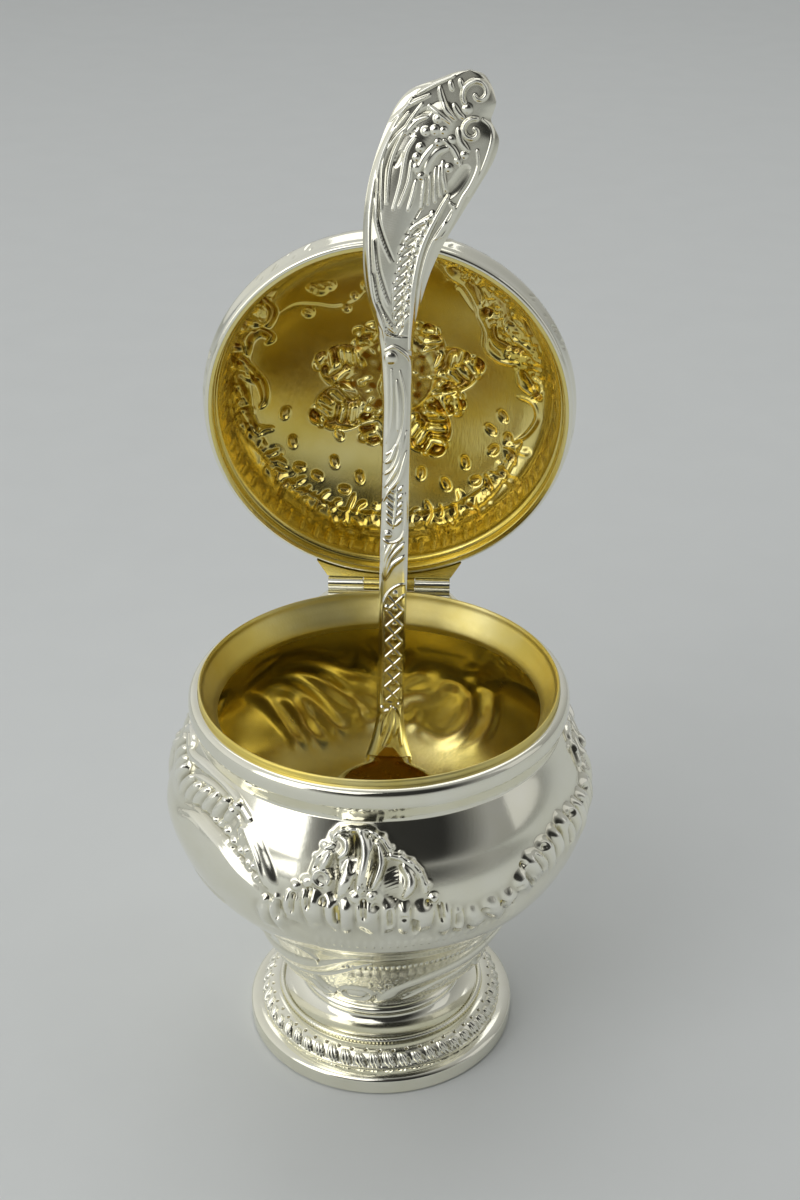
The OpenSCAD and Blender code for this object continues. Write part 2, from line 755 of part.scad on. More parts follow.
module spoon() {
    across = 8;
    spoon_len = scoop_len + handle_len;
    head_start = spoon_len - 40;
    stations = concat(
        [for (k = [0:20]) scoop_len * (1 - cos(180 * k / 20)) / 2],
        [for (k = [1:10]) scoop_len + (head_start - scoop_len) * k / 10],
        [for (k = [1:30]) head_start + 40 * sin(90 * k / 30)]
    );
    count = len(stations);
    row = across + 1;
    points = concat(
        [for (s = stations) for (i = [0:across]) let (v = 2 * i / across - 1)
            [left_at(s) + (right_at(s) - left_at(s)) * i / across,
             depth_at(s) * (1 - v * v) - thick_at(s) / 2 * (1 - 0.35 * pow(v, 4)), s]],
        [for (s = stations) for (i = [0:across]) let (v = 2 * i / across - 1)
            [left_at(s) + (right_at(s) - left_at(s)) * i / across,
             depth_at(s) * (1 - v * v) + thick_at(s) / 2 * (1 - 0.35 * pow(v, 4)), s]]
    );
    back = count * row;
    last = (count - 1) * row;
    faces = concat(
        [for (j = [0:count - 2]) for (i = [0:across - 1]) let (a = j * row + i) [a, a + row, a + row + 1]],
        [for (j = [0:count - 2]) for (i = [0:across - 1]) let (a = j * row + i) [a, a + row + 1, a + 1]],
        [for (j = [0:count - 2]) for (i = [0:across - 1]) let (a = back + j * row + i)
            [a, a + row + 1, a + row]],
        [for (j = [0:count - 2]) for (i = [0:across - 1]) let (a = back + j * row + i)
            [a, a + 1, a + row + 1]],
        [for (j = [0:count - 2]) let (a = j * row) [a, back + a, back + a + row]],
        [for (j = [0:count - 2]) let (a = j * row) [a, back + a + row, a + row]],
        [for (j = [0:count - 2]) let (a = j * row + across) [a, a + row, back + a + row]],
        [for (j = [0:count - 2]) let (a = j * row + across) [a, back + a + row, back + a]],
        [for (i = [0:across - 1]) [i, i + 1, back + i + 1]],
        [for (i = [0:across - 1]) [i, back + i + 1, back + i]],
        [for (i = [0:across - 1]) let (a = last + i) [a, back + a, back + a + 1]],
        [for (i = [0:across - 1]) let (a = last + i) [a, back + a + 1, a + 1]]
    );
    color(silver)
        translate([spoon_x, tip_y, tip_z])
            rotate([-spoon_lean, 0, 0])
                rotate([0, spoon_side_lean, 0])
                    polyhedron(points, faces);
}

bowl();
mouth_rim();
mouth_collar();
stem_collar();
foot_dome();
foot_wire();
foot_ring();
hinge_leaf_body();
hinge_knuckle_left();
hinge_knuckle_right();
hinge_pin();
lid_bezel();
lid_border();
lid_dome();
hinge_leaf_lid();
hinge_knuckle_centre();
finial_leaves();
finial_bud();
finial_stud();
finial_nut();
spoon();
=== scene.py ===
"""Looks of a chased silver mustard pot, gilt inside, with its open lid and its spoon.

Lengths are in millimetres until a mesh is made. The relief is painted as heights on flattened
sheets, and the sheets are then bent to the shapes of the CAD part.
"""
import json
import math

import bpy
import numpy as np
from mathutils import Matrix, Vector


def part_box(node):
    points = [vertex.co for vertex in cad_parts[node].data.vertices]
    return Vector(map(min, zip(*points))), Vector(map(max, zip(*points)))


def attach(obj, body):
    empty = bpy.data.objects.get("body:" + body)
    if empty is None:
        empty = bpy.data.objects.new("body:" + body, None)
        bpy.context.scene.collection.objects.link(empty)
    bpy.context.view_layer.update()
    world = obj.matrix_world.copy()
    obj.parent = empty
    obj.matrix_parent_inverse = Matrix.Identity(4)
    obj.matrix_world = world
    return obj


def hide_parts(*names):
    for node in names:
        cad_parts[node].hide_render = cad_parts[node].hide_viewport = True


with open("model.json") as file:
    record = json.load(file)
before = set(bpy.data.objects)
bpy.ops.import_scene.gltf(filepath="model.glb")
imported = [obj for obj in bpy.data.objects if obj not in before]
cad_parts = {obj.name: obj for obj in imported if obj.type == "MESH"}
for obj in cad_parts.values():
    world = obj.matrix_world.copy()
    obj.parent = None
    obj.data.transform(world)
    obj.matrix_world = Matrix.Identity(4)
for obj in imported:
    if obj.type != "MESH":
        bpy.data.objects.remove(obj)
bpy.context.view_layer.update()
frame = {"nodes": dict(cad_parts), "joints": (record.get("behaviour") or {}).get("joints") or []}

MM = 0.001
rng = np.random.default_rng(11)

# Driving sizes that the CAD boxes don't give
BOWL_WALL = 1.0
LID_OPEN = 86.5
BEZEL_H, BORDER_TOP, BORDER_LIP = 1.5, 6.4, 0.8
DOME_RISE, DOME_WALL = 8.6, 0.9
CAVETTO_W, BORDER_SWELL = 1.35, 0.6
SPOON_TIP = np.array([0.25, 9.127, 11.6])
SPOON_LEAN, SPOON_SIDE_LEAN = 8.2985, 1.0
SCOOP_LEN, SCOOP_DEPTH, SCOOP_T = 27.4, 4.2, 0.9
HANDLE_LEN, HANDLE_T, STRIKE = 103.2, 1.9, 0.65
NOTCH_X, NOTCH_W, NOTCH_H = 1.1, 7.0, 5.2
LEAF_REACH, LEAF_T = 6.4, 1.0
BUD_D, BUD_H = 8.0, 9.5

# Values of the tone that a mesh carries: hollow is 0 and proud is 1. Low tones are painted shade and
# high tones a painted highlight.
FLAT_TONE, SPOON_TONE, SCOOP_PAINTED_SHADE = 0.5, 0.55, 0.08
SHARP_ANGLE = 72


# Curves

def smooth(t):
    t = np.clip(t, 0, 1)
    return t * t * (3 - 2 * t)


def spline(points, step):
    """Points about step apart along a smooth curve through the given points."""
    p = np.asarray(points, float)
    if len(p) == 1:
        return p
    q = np.vstack([p[:1], p, p[-1:]])
    out = []
    for a, b, c, d in zip(q, q[1:], q[2:], q[3:]):
        n = max(2, math.ceil(np.linalg.norm(c - b) / step))
        t = np.linspace(0, 1, n, endpoint=False)[:, None]
        out.append((2 * b + (c - a) * t + (2 * a - 5 * b + 4 * c - d) * t ** 2
                    + (3 * b - a - 3 * c + d) * t ** 3) / 2)
    return np.vstack(out + [p[-1:]])


def run_of(points):
    """The way along a line of points, at each of them."""
    return np.r_[0, np.cumsum(np.hypot(*np.diff(points, axis=0).T))]


def normals(steps, r, z):
    """Outward normals, as radius and height, of an outline that is measured at steps along it."""
    dr, dz = np.gradient(r, steps), np.gradient(z, steps)
    size = np.hypot(dr, dz)
    return dz / size, -dr / size


def arc(centre, rx, ry, start, end, n=14):
    a = np.radians(np.linspace(start, end, n))
    return np.c_[centre[0] + rx * np.cos(a), centre[1] + ry * np.sin(a)]


def volute(centre, r, start, turns, n=26):
    """A spiral that runs inwards from radius r; turns is negative for the other hand."""
    t = np.linspace(0, 1, n)
    a = np.radians(start) + 2 * np.pi * turns * t
    rad = r * (1 - 0.78 * t)
    return np.c_[centre[0] + rad * np.cos(a), centre[1] + rad * np.sin(a)]


class Relief:
    """Heights over a flattened sheet. u runs across it and v along it; squeeze gives the real
    length of one unit of u in each row. settle() makes the next strokes lie on what is there."""

    def __init__(self, u0, u1, v0, v1, cell, squeeze=None, wraps=False):
        self.cell, self.u0, self.v0, self.wraps = cell, u0, v0, wraps
        self.nu, self.nv = round((u1 - u0) / cell), round((v1 - v0) / cell) + 1
        self.u = u0 + cell * np.arange(self.nu)
        self.v = v0 + cell * np.arange(self.nv)
        self.k = np.ones(self.nv) if squeeze is None else squeeze(self.v)
        self.h = np.zeros((self.nv, self.nu))
        self.place = lambda points: np.asarray(points, float).reshape(-1, 2)
        self.settle()

    def settle(self):
        self.base = self.h.copy()

    def dabs(self, pos, radius, height, crown):
        """Lays round crowned dabs at points; a negative height carves them."""
        group = 10
        for i in range(0, len(pos), group):
            p, r, z = pos[i:i + group], radius[i:i + group], height[i:i + group]
            reach = r.max()
            lo = max(0, math.floor((p[:, 1].min() - reach - self.v0) / self.cell))
            hi = min(self.nv, math.ceil((p[:, 1].max() + reach - self.v0) / self.cell) + 1)
            if lo >= hi:
                continue
            wide = reach / self.k[lo:hi].min()
            cols = np.arange(math.floor((p[:, 0].min() - wide - self.u0) / self.cell),
                             math.ceil((p[:, 0].max() + wide - self.u0) / self.cell) + 1)
            if not self.wraps:
                cols = cols[(cols >= 0) & (cols < self.nu)]
            if not len(cols):
                continue
            u = (self.u0 + self.cell * cols)[None, None, :]
            v = self.v[lo:hi][None, :, None]
            k = self.k[lo:hi][None, :, None]
            d = ((u - p[:, 0, None, None]) * k) ** 2 + (v - p[:, 1, None, None]) ** 2
            dab = np.clip(1 - d / r[:, None, None] ** 2, 0, 1) ** crown * np.abs(z)[:, None, None]
            dab = dab.max(0)
            at = np.ix_(range(lo, hi), cols % self.nu)
            if z[0] >= 0:
                self.h[at] = np.maximum(self.h[at], self.base[at] + dab)
            else:
                self.h[at] = np.minimum(self.h[at], self.base[at] - dab)

    def stroke(self, points, width, height, ends=(0.35, 0.35), crown=0.7):
        """A ridge, or a groove, along a smooth curve, with ends tapered to a share of its width."""
        p = spline(self.place(points), min(0.35, max(0.6 * self.cell, width / 8)))
        t = np.linspace(0, 1, len(p))
        rise = ends[0] + (1 - ends[0]) * np.sin(np.pi / 2 * np.clip(t / 0.4, 0, 1))
        fall = ends[1] + (1 - ends[1]) * np.sin(np.pi / 2 * np.clip((1 - t) / 0.4, 0, 1))
        w = np.minimum(rise, fall) if len(p) > 1 else np.ones(1)
        self.dabs(p, np.maximum(width / 2 * w, self.cell), height * w ** 0.6, crown)

    def bead(self, at, r, height, crown=0.55):
        self.stroke([at], 2 * r, height, crown=crown)

    def beads(self, points, r, height, gap):
        p = spline(self.place(points), 0.1)
        run = run_of(p)
        stops = np.arange(gap / 2, run[-1], gap)
        p = np.c_[np.interp(stops, run, p[:, 0]), np.interp(stops, run, p[:, 1])]
        self.dabs(p, np.full(len(p), r), np.full(len(p), height), 0.55)

    def fan(self, root, tips, bow, width, height, ends=(0.3, 0.5)):
        """Leaves from one root to several tips, each bowed sideways by a share of its length."""
        root = np.asarray(root, float)
        for tip in tips:
            tip = np.asarray(tip, float)
            across = np.array([-(tip - root)[1], (tip - root)[0]])
            self.stroke([root, root + 0.5 * (tip - root) + bow * across, tip], width, height, ends)

    def blurred(self, size):
        """The heights softened over a size in mm."""
        n = max(1, round(size / self.cell))
        h = self.h
        for axis in (0, 1, 0, 1):
            pad = [(0, 0), (0, 0)]
            pad[axis] = (n, n)
            mode = "wrap" if axis == 1 and self.wraps else "edge"
            c = np.cumsum(np.pad(h, pad, mode=mode), axis=axis)
            c = np.insert(c, 0, 0, axis=axis)
            width = 2 * n + 1
            h = (np.take(c, range(width, c.shape[axis]), axis)
                 - np.take(c, range(0, c.shape[axis] - width), axis)) / width
        return h

    def sample(self, u, v, field=None):
        """The field, by default the heights, at positions on the sheet."""
        h = self.h if field is None else field
        x = (np.asarray(u) - self.u0) / self.cell
        y = np.clip((np.asarray(v) - self.v0) / self.cell, 0, self.nv - 1.001)
        x = x % self.nu if self.wraps else np.clip(x, 0, self.nu - 1.001)
        i, j = np.floor(y).astype(int), np.floor(x).astype(int)
        fy, fx = y - i, x - j
        j2 = (j + 1) % self.nu
        j = j % self.nu
        return ((h[i, j] * (1 - fx) + h[i, j2] * fx) * (1 - fy)
                + (h[i + 1, j] * (1 - fx) + h[i + 1, j2] * fx) * fy)


# Meshes

def mesh_of(name, rows, start=None, end=None, flip=False, tone=None):
    """A closed-round mesh from rows of points, with a point that closes it at either end, or a
    ring where the last row is the first again. tone is a value for each point, kept as the
    attribute that the materials read."""
    ring_shaped = np.allclose(rows[0], rows[-1])
    if ring_shaped:
        rows, tone = rows[:-1], None if tone is None else tone[:-1]
    m, n = rows.shape[:2]
    verts = rows.reshape(-1, 3)
    values = None if tone is None else list(np.asarray(tone).ravel())
    i, j = np.meshgrid(np.arange(m if ring_shaped else m - 1), np.arange(n), indexing="ij")
    a, b = (i * n + j).ravel(), (i * n + (j + 1) % n).ravel()
    faces = np.c_[a, b, (b + n) % (m * n), (a + n) % (m * n)]
    faces = (faces[:, ::-1] if flip else faces).tolist()
    ring = np.arange(n)
    for point, first, turn_over in ((start, 0, not flip), (end, (m - 1) * n, flip)):
        if point is None:
            continue
        pole = len(verts)
        verts = np.vstack([verts, [point]])
        if values is not None:
            values.append(FLAT_TONE)
        tri = np.c_[np.full(n, pole), first + ring, first + (ring + 1) % n]
        faces += (tri[:, ::-1] if turn_over else tri).tolist()
    mesh = bpy.data.meshes.new(name)
    mesh.from_pydata((verts * MM).tolist(), [], faces)
    if values is not None:
        # The tone attribute carries painted shade and painted highlight for the materials
        mesh.attributes.new("tone", "FLOAT", "POINT").data.foreach_set("value", values)
    mesh.shade_smooth()
    mesh.set_sharp_from_angle(angle=math.radians(SHARP_ANGLE))
    obj = bpy.data.objects.new(name, mesh)
    bpy.context.scene.collection.objects.link(obj)
    return obj


def around(r, a, z):
    """Points at a radius, an angle from the front towards the right, and a height."""
    r, a, z = np.broadcast_arrays(r, a, z)
    return np.stack([r * np.sin(a), -r * np.cos(a), z], -1)


def revolved(profile, a):
    """Rows of points: a profile of radius and height turned to angles."""
    p = np.asarray(profile)
    return around(p[:, :1], a[None, :], p[:, 1:])


def plain_tone(rows):
    return np.full(rows.shape[:2], FLAT_TONE)


def loop_mesh(name, profile, turns, bend=None):
    """A ring from a closed profile of radius and height; bend may move its points."""
    rows = revolved(np.vstack([profile, profile[:1]]), np.linspace(0, 2 * np.pi, turns, endpoint=False))
    return mesh_of(name, rows if bend is None else bend(rows))


def dress(obj, body, nodes, mat):
    obj.data.materials.append(mat)
    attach(obj, body)
    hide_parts(*nodes)
    return obj


def box_mm(node):
    lo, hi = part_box(node)
    return np.array(lo) / MM, np.array(hi) / MM


# Materials

def node(tree, kind, output, values=None, **settings):
    """Adds a shader node and returns one of its outputs. values gives its inputs by name or
    number: numbers, colours or other nodes' outputs."""
    new = tree.nodes.new("ShaderNode" + kind)
    for key, value in settings.items():
        setattr(new, key, value)
    for key, value in (values or {}).items():
        socket = new.inputs[key]
        if isinstance(value, bpy.types.NodeSocket):
            tree.links.new(value, socket)
        else:
            socket.default_value = (*value, 1) if socket.type == "RGBA" else value
    return new.outputs[output]


def ranged(tree, value, low, high, to=(0, 1)):
    return node(tree, "MapRange", "Result", {"Value": value, "From Min": low, "From Max": high,
                                             "To Min": to[0], "To Max": to[1]})


def mixed(tree, factor, a, b):
    return node(tree, "Mix", "Result", {"Factor": factor, "A": a, "B": b}, data_type="RGBA")


def noise(tree, place, scale, detail=2):
    return node(tree, "TexNoise", "Fac", {"Vector": place, "Scale": scale, "Detail": detail})


def maths(tree, operation, *values):
    return node(tree, "Math", "Value", dict(enumerate(values)), operation=operation)


def material(name):
    """A new material, its node tree and its shader."""
    mat = bpy.data.materials.new(name)
    mat.use_nodes = True
    return mat, mat.node_tree, mat.node_tree.nodes["Principled BSDF"]


# Extra roughness of chased metal, and the scales of polish, wear and the grain of brushing
CHASED_DULL = 0.22
POLISH_SCALE, PATCH_SCALE, WORN_PATCH_SCALE = 420, 160, 75
BRUSH_SCALE, BRUSH_DEPTH = (2600, 2600, 700), 0.00003


def metal(name, colour, painted_hollow_shade, bright, rough, spread, grain, toned=True, patch=PATCH_SCALE, worn=0.5):
    """A plated metal: its colour follows the relief, with painted shade in its hollows and a painted
    highlight on proud parts, and its gloss varies as hand polish does.
    """
    mat, tree, shader = material(name)
    shader.inputs["Metallic"].default_value = 1.0
    place = node(tree, "TexCoord", "Object")
    rubbed = tuple(a + worn * (b - a) for a, b in zip(colour, bright))
    shade = mixed(tree, ranged(tree, noise(tree, place, patch, 4), 0.35, 0.7), colour, rubbed)
    dull = ranged(tree, noise(tree, place, POLISH_SCALE, 5), 0, 1, (rough - spread, rough + spread))
    if toned:
        # The tone paints shade into hollows, towards the hollow colour, and a highlight onto proud
        # parts, towards the bright colour
        tone = node(tree, "Attribute", "Fac", attribute_name="tone")
        shade = mixed(tree, ranged(tree, tone, 0, 0.48), painted_hollow_shade, shade)
        shade = mixed(tree, ranged(tree, tone, 0.55, 1), shade, bright)
        chased = maths(tree, "ABSOLUTE", maths(tree, "SUBTRACT", tone, FLAT_TONE))
        dull = maths(tree, "MULTIPLY_ADD", chased, CHASED_DULL, dull)
    brushed = node(tree, "Mapping", "Vector", {"Vector": place, "Scale": BRUSH_SCALE})
    bump = node(tree, "Bump", "Normal", {"Strength": grain, "Distance": BRUSH_DEPTH,
                                         "Height": noise(tree, brushed, 1, 3)})
    for socket, value in (("Base Color", shade), ("Roughness", dull), ("Normal", bump)):
        tree.links.new(value, shader.inputs[socket])
    return mat


# Colour of each metal where it is plain, deep in the relief as painted shade, and rubbed bright, which
# is also its painted highlight on proud parts
SILVER = ((0.90, 0.88, 0.74), (0.44, 0.41, 0.29), (0.97, 0.96, 0.88))
GILT = ((0.81, 0.66, 0.17), (0.40, 0.19, 0.015), (0.95, 0.89, 0.52))
# The lid's and the spoon's gilding take a darker, more saturated copy of the gilt as painted shade
SHADED_LID_GILT = ((0.72, 0.56, 0.11), (0.30, 0.13, 0.01), (0.93, 0.85, 0.44))
silver = metal("polished_silver", *SILVER, 0.11, 0.03, 0.12)
silver_plain = metal("polished_silver_plain", *SILVER, 0.11, 0.03, 0.12, toned=False)
silver_spoon = metal("struck_silver", *SILVER, 0.14, 0.04, 0.15)
WEAR = {"patch": WORN_PATCH_SCALE, "worn": 0.6}
gilt = metal("satin_gilding", *SHADED_LID_GILT, 0.17, 0.05, 0.4, **WEAR)
gilt_bright = metal("bright_gilding", *GILT, 0.22, 0.04, 0.25, **WEAR)
gilt_plain = metal("satin_gilding_plain", *GILT, 0.22, 0.06, 0.4, False, **WEAR)
gilt_soft = metal("brushed_gilding", *GILT, 0.42, 0.08, 0.6, False, **WEAR)


def painted_relief_shading(relief, soft, gain):
    """Where a relief is hollow (0), flat (0.5) or proud (1) of its surroundings, which the materials
    paint as shade and as a highlight.
    """
    return np.clip(FLAT_TONE + gain * (relief.h - relief.blurred(soft)), 0, 1)


# The bowl: its border repeats half a turn round, and the ornament of its waist at each quarter

# Outline of the bowl: radius, and height above its bottom
BOWL_OUTLINE = ((12.4, 0), (16.3, 4.7), (17.9, 8.8), (22.8, 18.0), (28.2, 25.4), (30.9, 33.2),
                (29.3, 39.2), (26.5, 44.9))
BELLY_R = 30.9
bowl_bottom = box_mm("bowl")[0][2]
line = spline(np.array(BOWL_OUTLINE) + (0, bowl_bottom), 0.1)
bowl_top = line[-1, 1]
run = run_of(line)


def run_at(z):
    return np.interp(z, line[:, 1], run)


body = Relief(-math.pi * BELLY_R, math.pi * BELLY_R, 0, run[-1], 0.1,
              lambda v: np.interp(v, run, line[:, 0]) / BELLY_R, wraps=True)


def on_body(points):
    """From degrees round the pot and height above the table to the flattened sheet."""
    p = np.asarray(points, float).reshape(-1, 2)
    return np.c_[np.radians(p[:, 0]) * BELLY_R, run_at(p[:, 1])]


body.place = on_body

# Edge of the smooth lower panels, under the border, through half a turn, and the width of its rise
PANEL_EDGE = ((-90, 46.4), (-76, 46.0), (-64, 46.6), (-56, 48.0), (-46, 47.7), (-40, 46.8), (-35, 45.6),
              (-30, 44.4), (-24, 42.0), (-18, 39.5), (-12, 38.8), (0, 39.0), (14, 38.6), (24, 37.6),
              (34, 38.0), (42, 39.6), (56, 42.0), (65, 43.0), (76, 44.4), (90, 46.4))
PANEL_SWELL, PANEL_FOOT, PANEL_FADE = 0.6, 22, 14
PANEL_SOFT = ((-90, 5), (-74, 3), (-62, 1.4), (-24, 1.4), (-12, 7), (76, 7), (90, 5))


def panels():
    """The plain panels under the border swell out softly and run down to the waist."""
    half_turn = np.degrees(body.u / BELLY_R + math.pi / 2) % 180 - 90
    edge = spline(PANEL_EDGE, 1)
    top = run_at(np.interp(half_turn, edge[:, 0], edge[:, 1]))
    soft = np.interp(half_turn, *np.array(PANEL_SOFT).T)
    below = top[None, :] - body.v[:, None]
    from_waist = smooth((body.v[:, None] - run_at(PANEL_FOOT)) / PANEL_FADE)
    body.h += PANEL_SWELL * smooth(below / soft[None, :]) * from_waist
    body.settle()


def turned(points, turn):
    return [(a + turn, z) for a, z in points]


def border(turn):
    """Left of the shell: a ribbon over a row of slanted lobes, with leaf curls at one end and a
    loop at the other."""
    def s(points, *look):
        body.stroke(turned(points, turn), *look)

    ridge = PANEL_EDGE[2:10]
    s([(a, z + 0.8) for a, z in ridge], 1.1, -0.3, (0.3, 0.3))
    s([(a, z - 0.5) for a, z in ridge], 1.2, 0.22, (0.3, 0.3))
    body.settle()
    middle = np.array([(-98, 50.6), (-80, 50.0), (-66, 49.6), (-60, 50.0), (-55, 50.7), (-50, 51.0),
                       (-43, 51.6)])
    for a in np.arange(-96, -41, 4.9):
        z = np.interp(a, middle[:, 0], middle[:, 1])
        s([(a - 1.5, z - 1.3), (a - 0.2, z), (a + 1.8, z + 1.3)], 1.7, 0.75, (0.7, 0.55), 0.6)
        body.bead((a - 2.4 + turn, z - 1.8), 0.5, 0.36)
    s([(-37, 50.4), (-31, 47.4), (-25.5, 43.6)], 4.6, 0.3, (0.6, 0.3), 1.3)
    body.settle()
    ribbon = [(-98, 52.4), (-84, 52.6), (-72, 52.4), (-62, 53.4), (-52, 54.0), (-43, 53.3), (-36, 51.8)]
    s(ribbon, 1.5, 0.5, (0.5, 0.9), 0.5)
    s([(-36, 51.8), (-31, 48.6), (-24, 43.8), (-21, 41.4)], 2.8, 0.24, (0.7, 0.2), 1.3)
    s([(-66, 50.9), (-60, 52.0), (-52, 52.7), (-45, 52.4), (-38.6, 50.9)], 0.8, 0.36)
    s([(-37.4, 49.0), (-37.8, 50.0), (-36.1, 50.4), (-32.5, 48.8), (-29.4, 46.8), (-26.6, 44.2)],
      1.1, 0.45)
    for a, z, r in ((-47.7, 49.2, 0.5), (-45.2, 49.2, 0.5), (-42.4, 48.9, 0.6), (-39.6, 48.0, 0.6),
                    (-36.4, 47.4, 0.6), (-34.0, 47.9, 0.55), (-33.2, 46.3, 0.55), (-31.0, 46.4, 0.5),
                    (-29.6, 45.0, 0.5), (-26.4, 42.6, 0.5)):
        body.bead((a + turn, z), r, 0.5)
    s([(-88, 50.6), (-84, 53.2), (-78.5, 54.0), (-74.0, 53.4), (-75.5, 52.0)], 1.4, 0.8)
    s([(-97, 51.0), (-94, 53.2), (-89, 53.4), (-87.5, 52.0)], 1.2, 0.7)
    s([(-73, 48.6), (-70, 50.6), (-70.5, 52.2)], 1.2, 0.7)


# Upper edge of the fluted skirt that hangs below the shell and climbs to the right, and its flutes'
# lean in degrees per mm
SKIRT_EDGE = ((-30, 41.0), (-25, 43.2), (-20, 44.6), (-15, 45.6), (-8, 44.8), (0, 45.0), (8, 44.6),
              (14, 44.2), (20, 43.2), (25, 41.8), (32, 42.4), (37, 42.6), (40, 44.2), (44, 46.2),
              (49, 46.8), (54, 47.2), (60, 48.4), (66, 48.0), (72, 47.6), (81, 48.4), (94, 50.8))
SKIRT_LEAN = ((-30, 0.25), (0, 0), (18, -0.1), (27, 0.5), (40, 1.1), (50, 1.05), (58, 0.6), (92, 0.4))
# Pitch of the flutes in degrees, their height, the width of their edge, and where and how they fade
FLUTE, FLUTE_H, FLUTE_EDGE = 4.75, 1.05, 2.2
TAIL_START, TAIL_LEN, TAIL_VARY = 2.6, 5.2, 1.2
SKIRT_END = 4


def skirt(turn, first, last):
    """Broad flutes under a scalloped edge, from one angle to another, fading downwards."""
    a = (np.degrees(body.u / BELLY_R) - turn + 180) % 360 - 180
    edge, lean = (np.interp(a, *np.array(table).T) for table in (SKIRT_EDGE, SKIRT_LEAN))
    down = run_at(edge)[None, :] - body.v[:, None]
    phase = (a - 0.8 * np.sin(np.radians(23 * a)))[None, :] - lean[None, :] * (down - 2.5)
    crest = np.abs(np.cos(np.pi * phase / FLUTE)) ** 0.65
    top = smooth((down + 0.7 * crest) / FLUTE_EDGE)
    tail_len = TAIL_LEN + TAIL_VARY * np.sin(np.radians(41 * a))
    tail = 1 - smooth((down - TAIL_START) / tail_len[None, :])
    gate = smooth((a - first) / SKIRT_END) * smooth((last - a) / SKIRT_END)
    body.h += FLUTE_H * gate[None, :] * top * tail * (0.15 + 0.85 * crest)
    body.settle()


def slit(start, end, width=0.85, depth=0.8):
    body.stroke([start, end], width, -depth, (0.9, 0.25), 0.5)


def skirt_cuts(turn, first):
    """Slits between the flutes and punched holes along the edge, right of the shell."""
    for a, z, b, y in ((39.2, 40.4, 42.3, 37.8), (43.1, 43.7, 47.9, 40.3), (46.7, 45.4, 49.9, 42.7),
                       (54.0, 44.9, 55.2, 42.5), (58.0, 46.2, 59.4, 43.4), (61.3, 45.8, 62.8, 43.1),
                       (68.5, 46.6, 69.5, 44.1), (75.0, 46.0, 76.4, 43.4), (81.0, 46.8, 82.2, 44.2)):
        if a > first:
            slit((a + turn, z), (b + turn, y))
    for a, z in ((31.0, 40.6), (36.0, 40.6), (40.9, 42.4), (42.7, 45.3), (50.5, 46.0), (57.7, 46.6),
                 (63.2, 46.8), (65.3, 46.9), (72.4, 46.4), (78.6, 46.6), (85.4, 47.8)):
        if a > first:
            body.bead((a + turn, z), 0.5, -0.5)


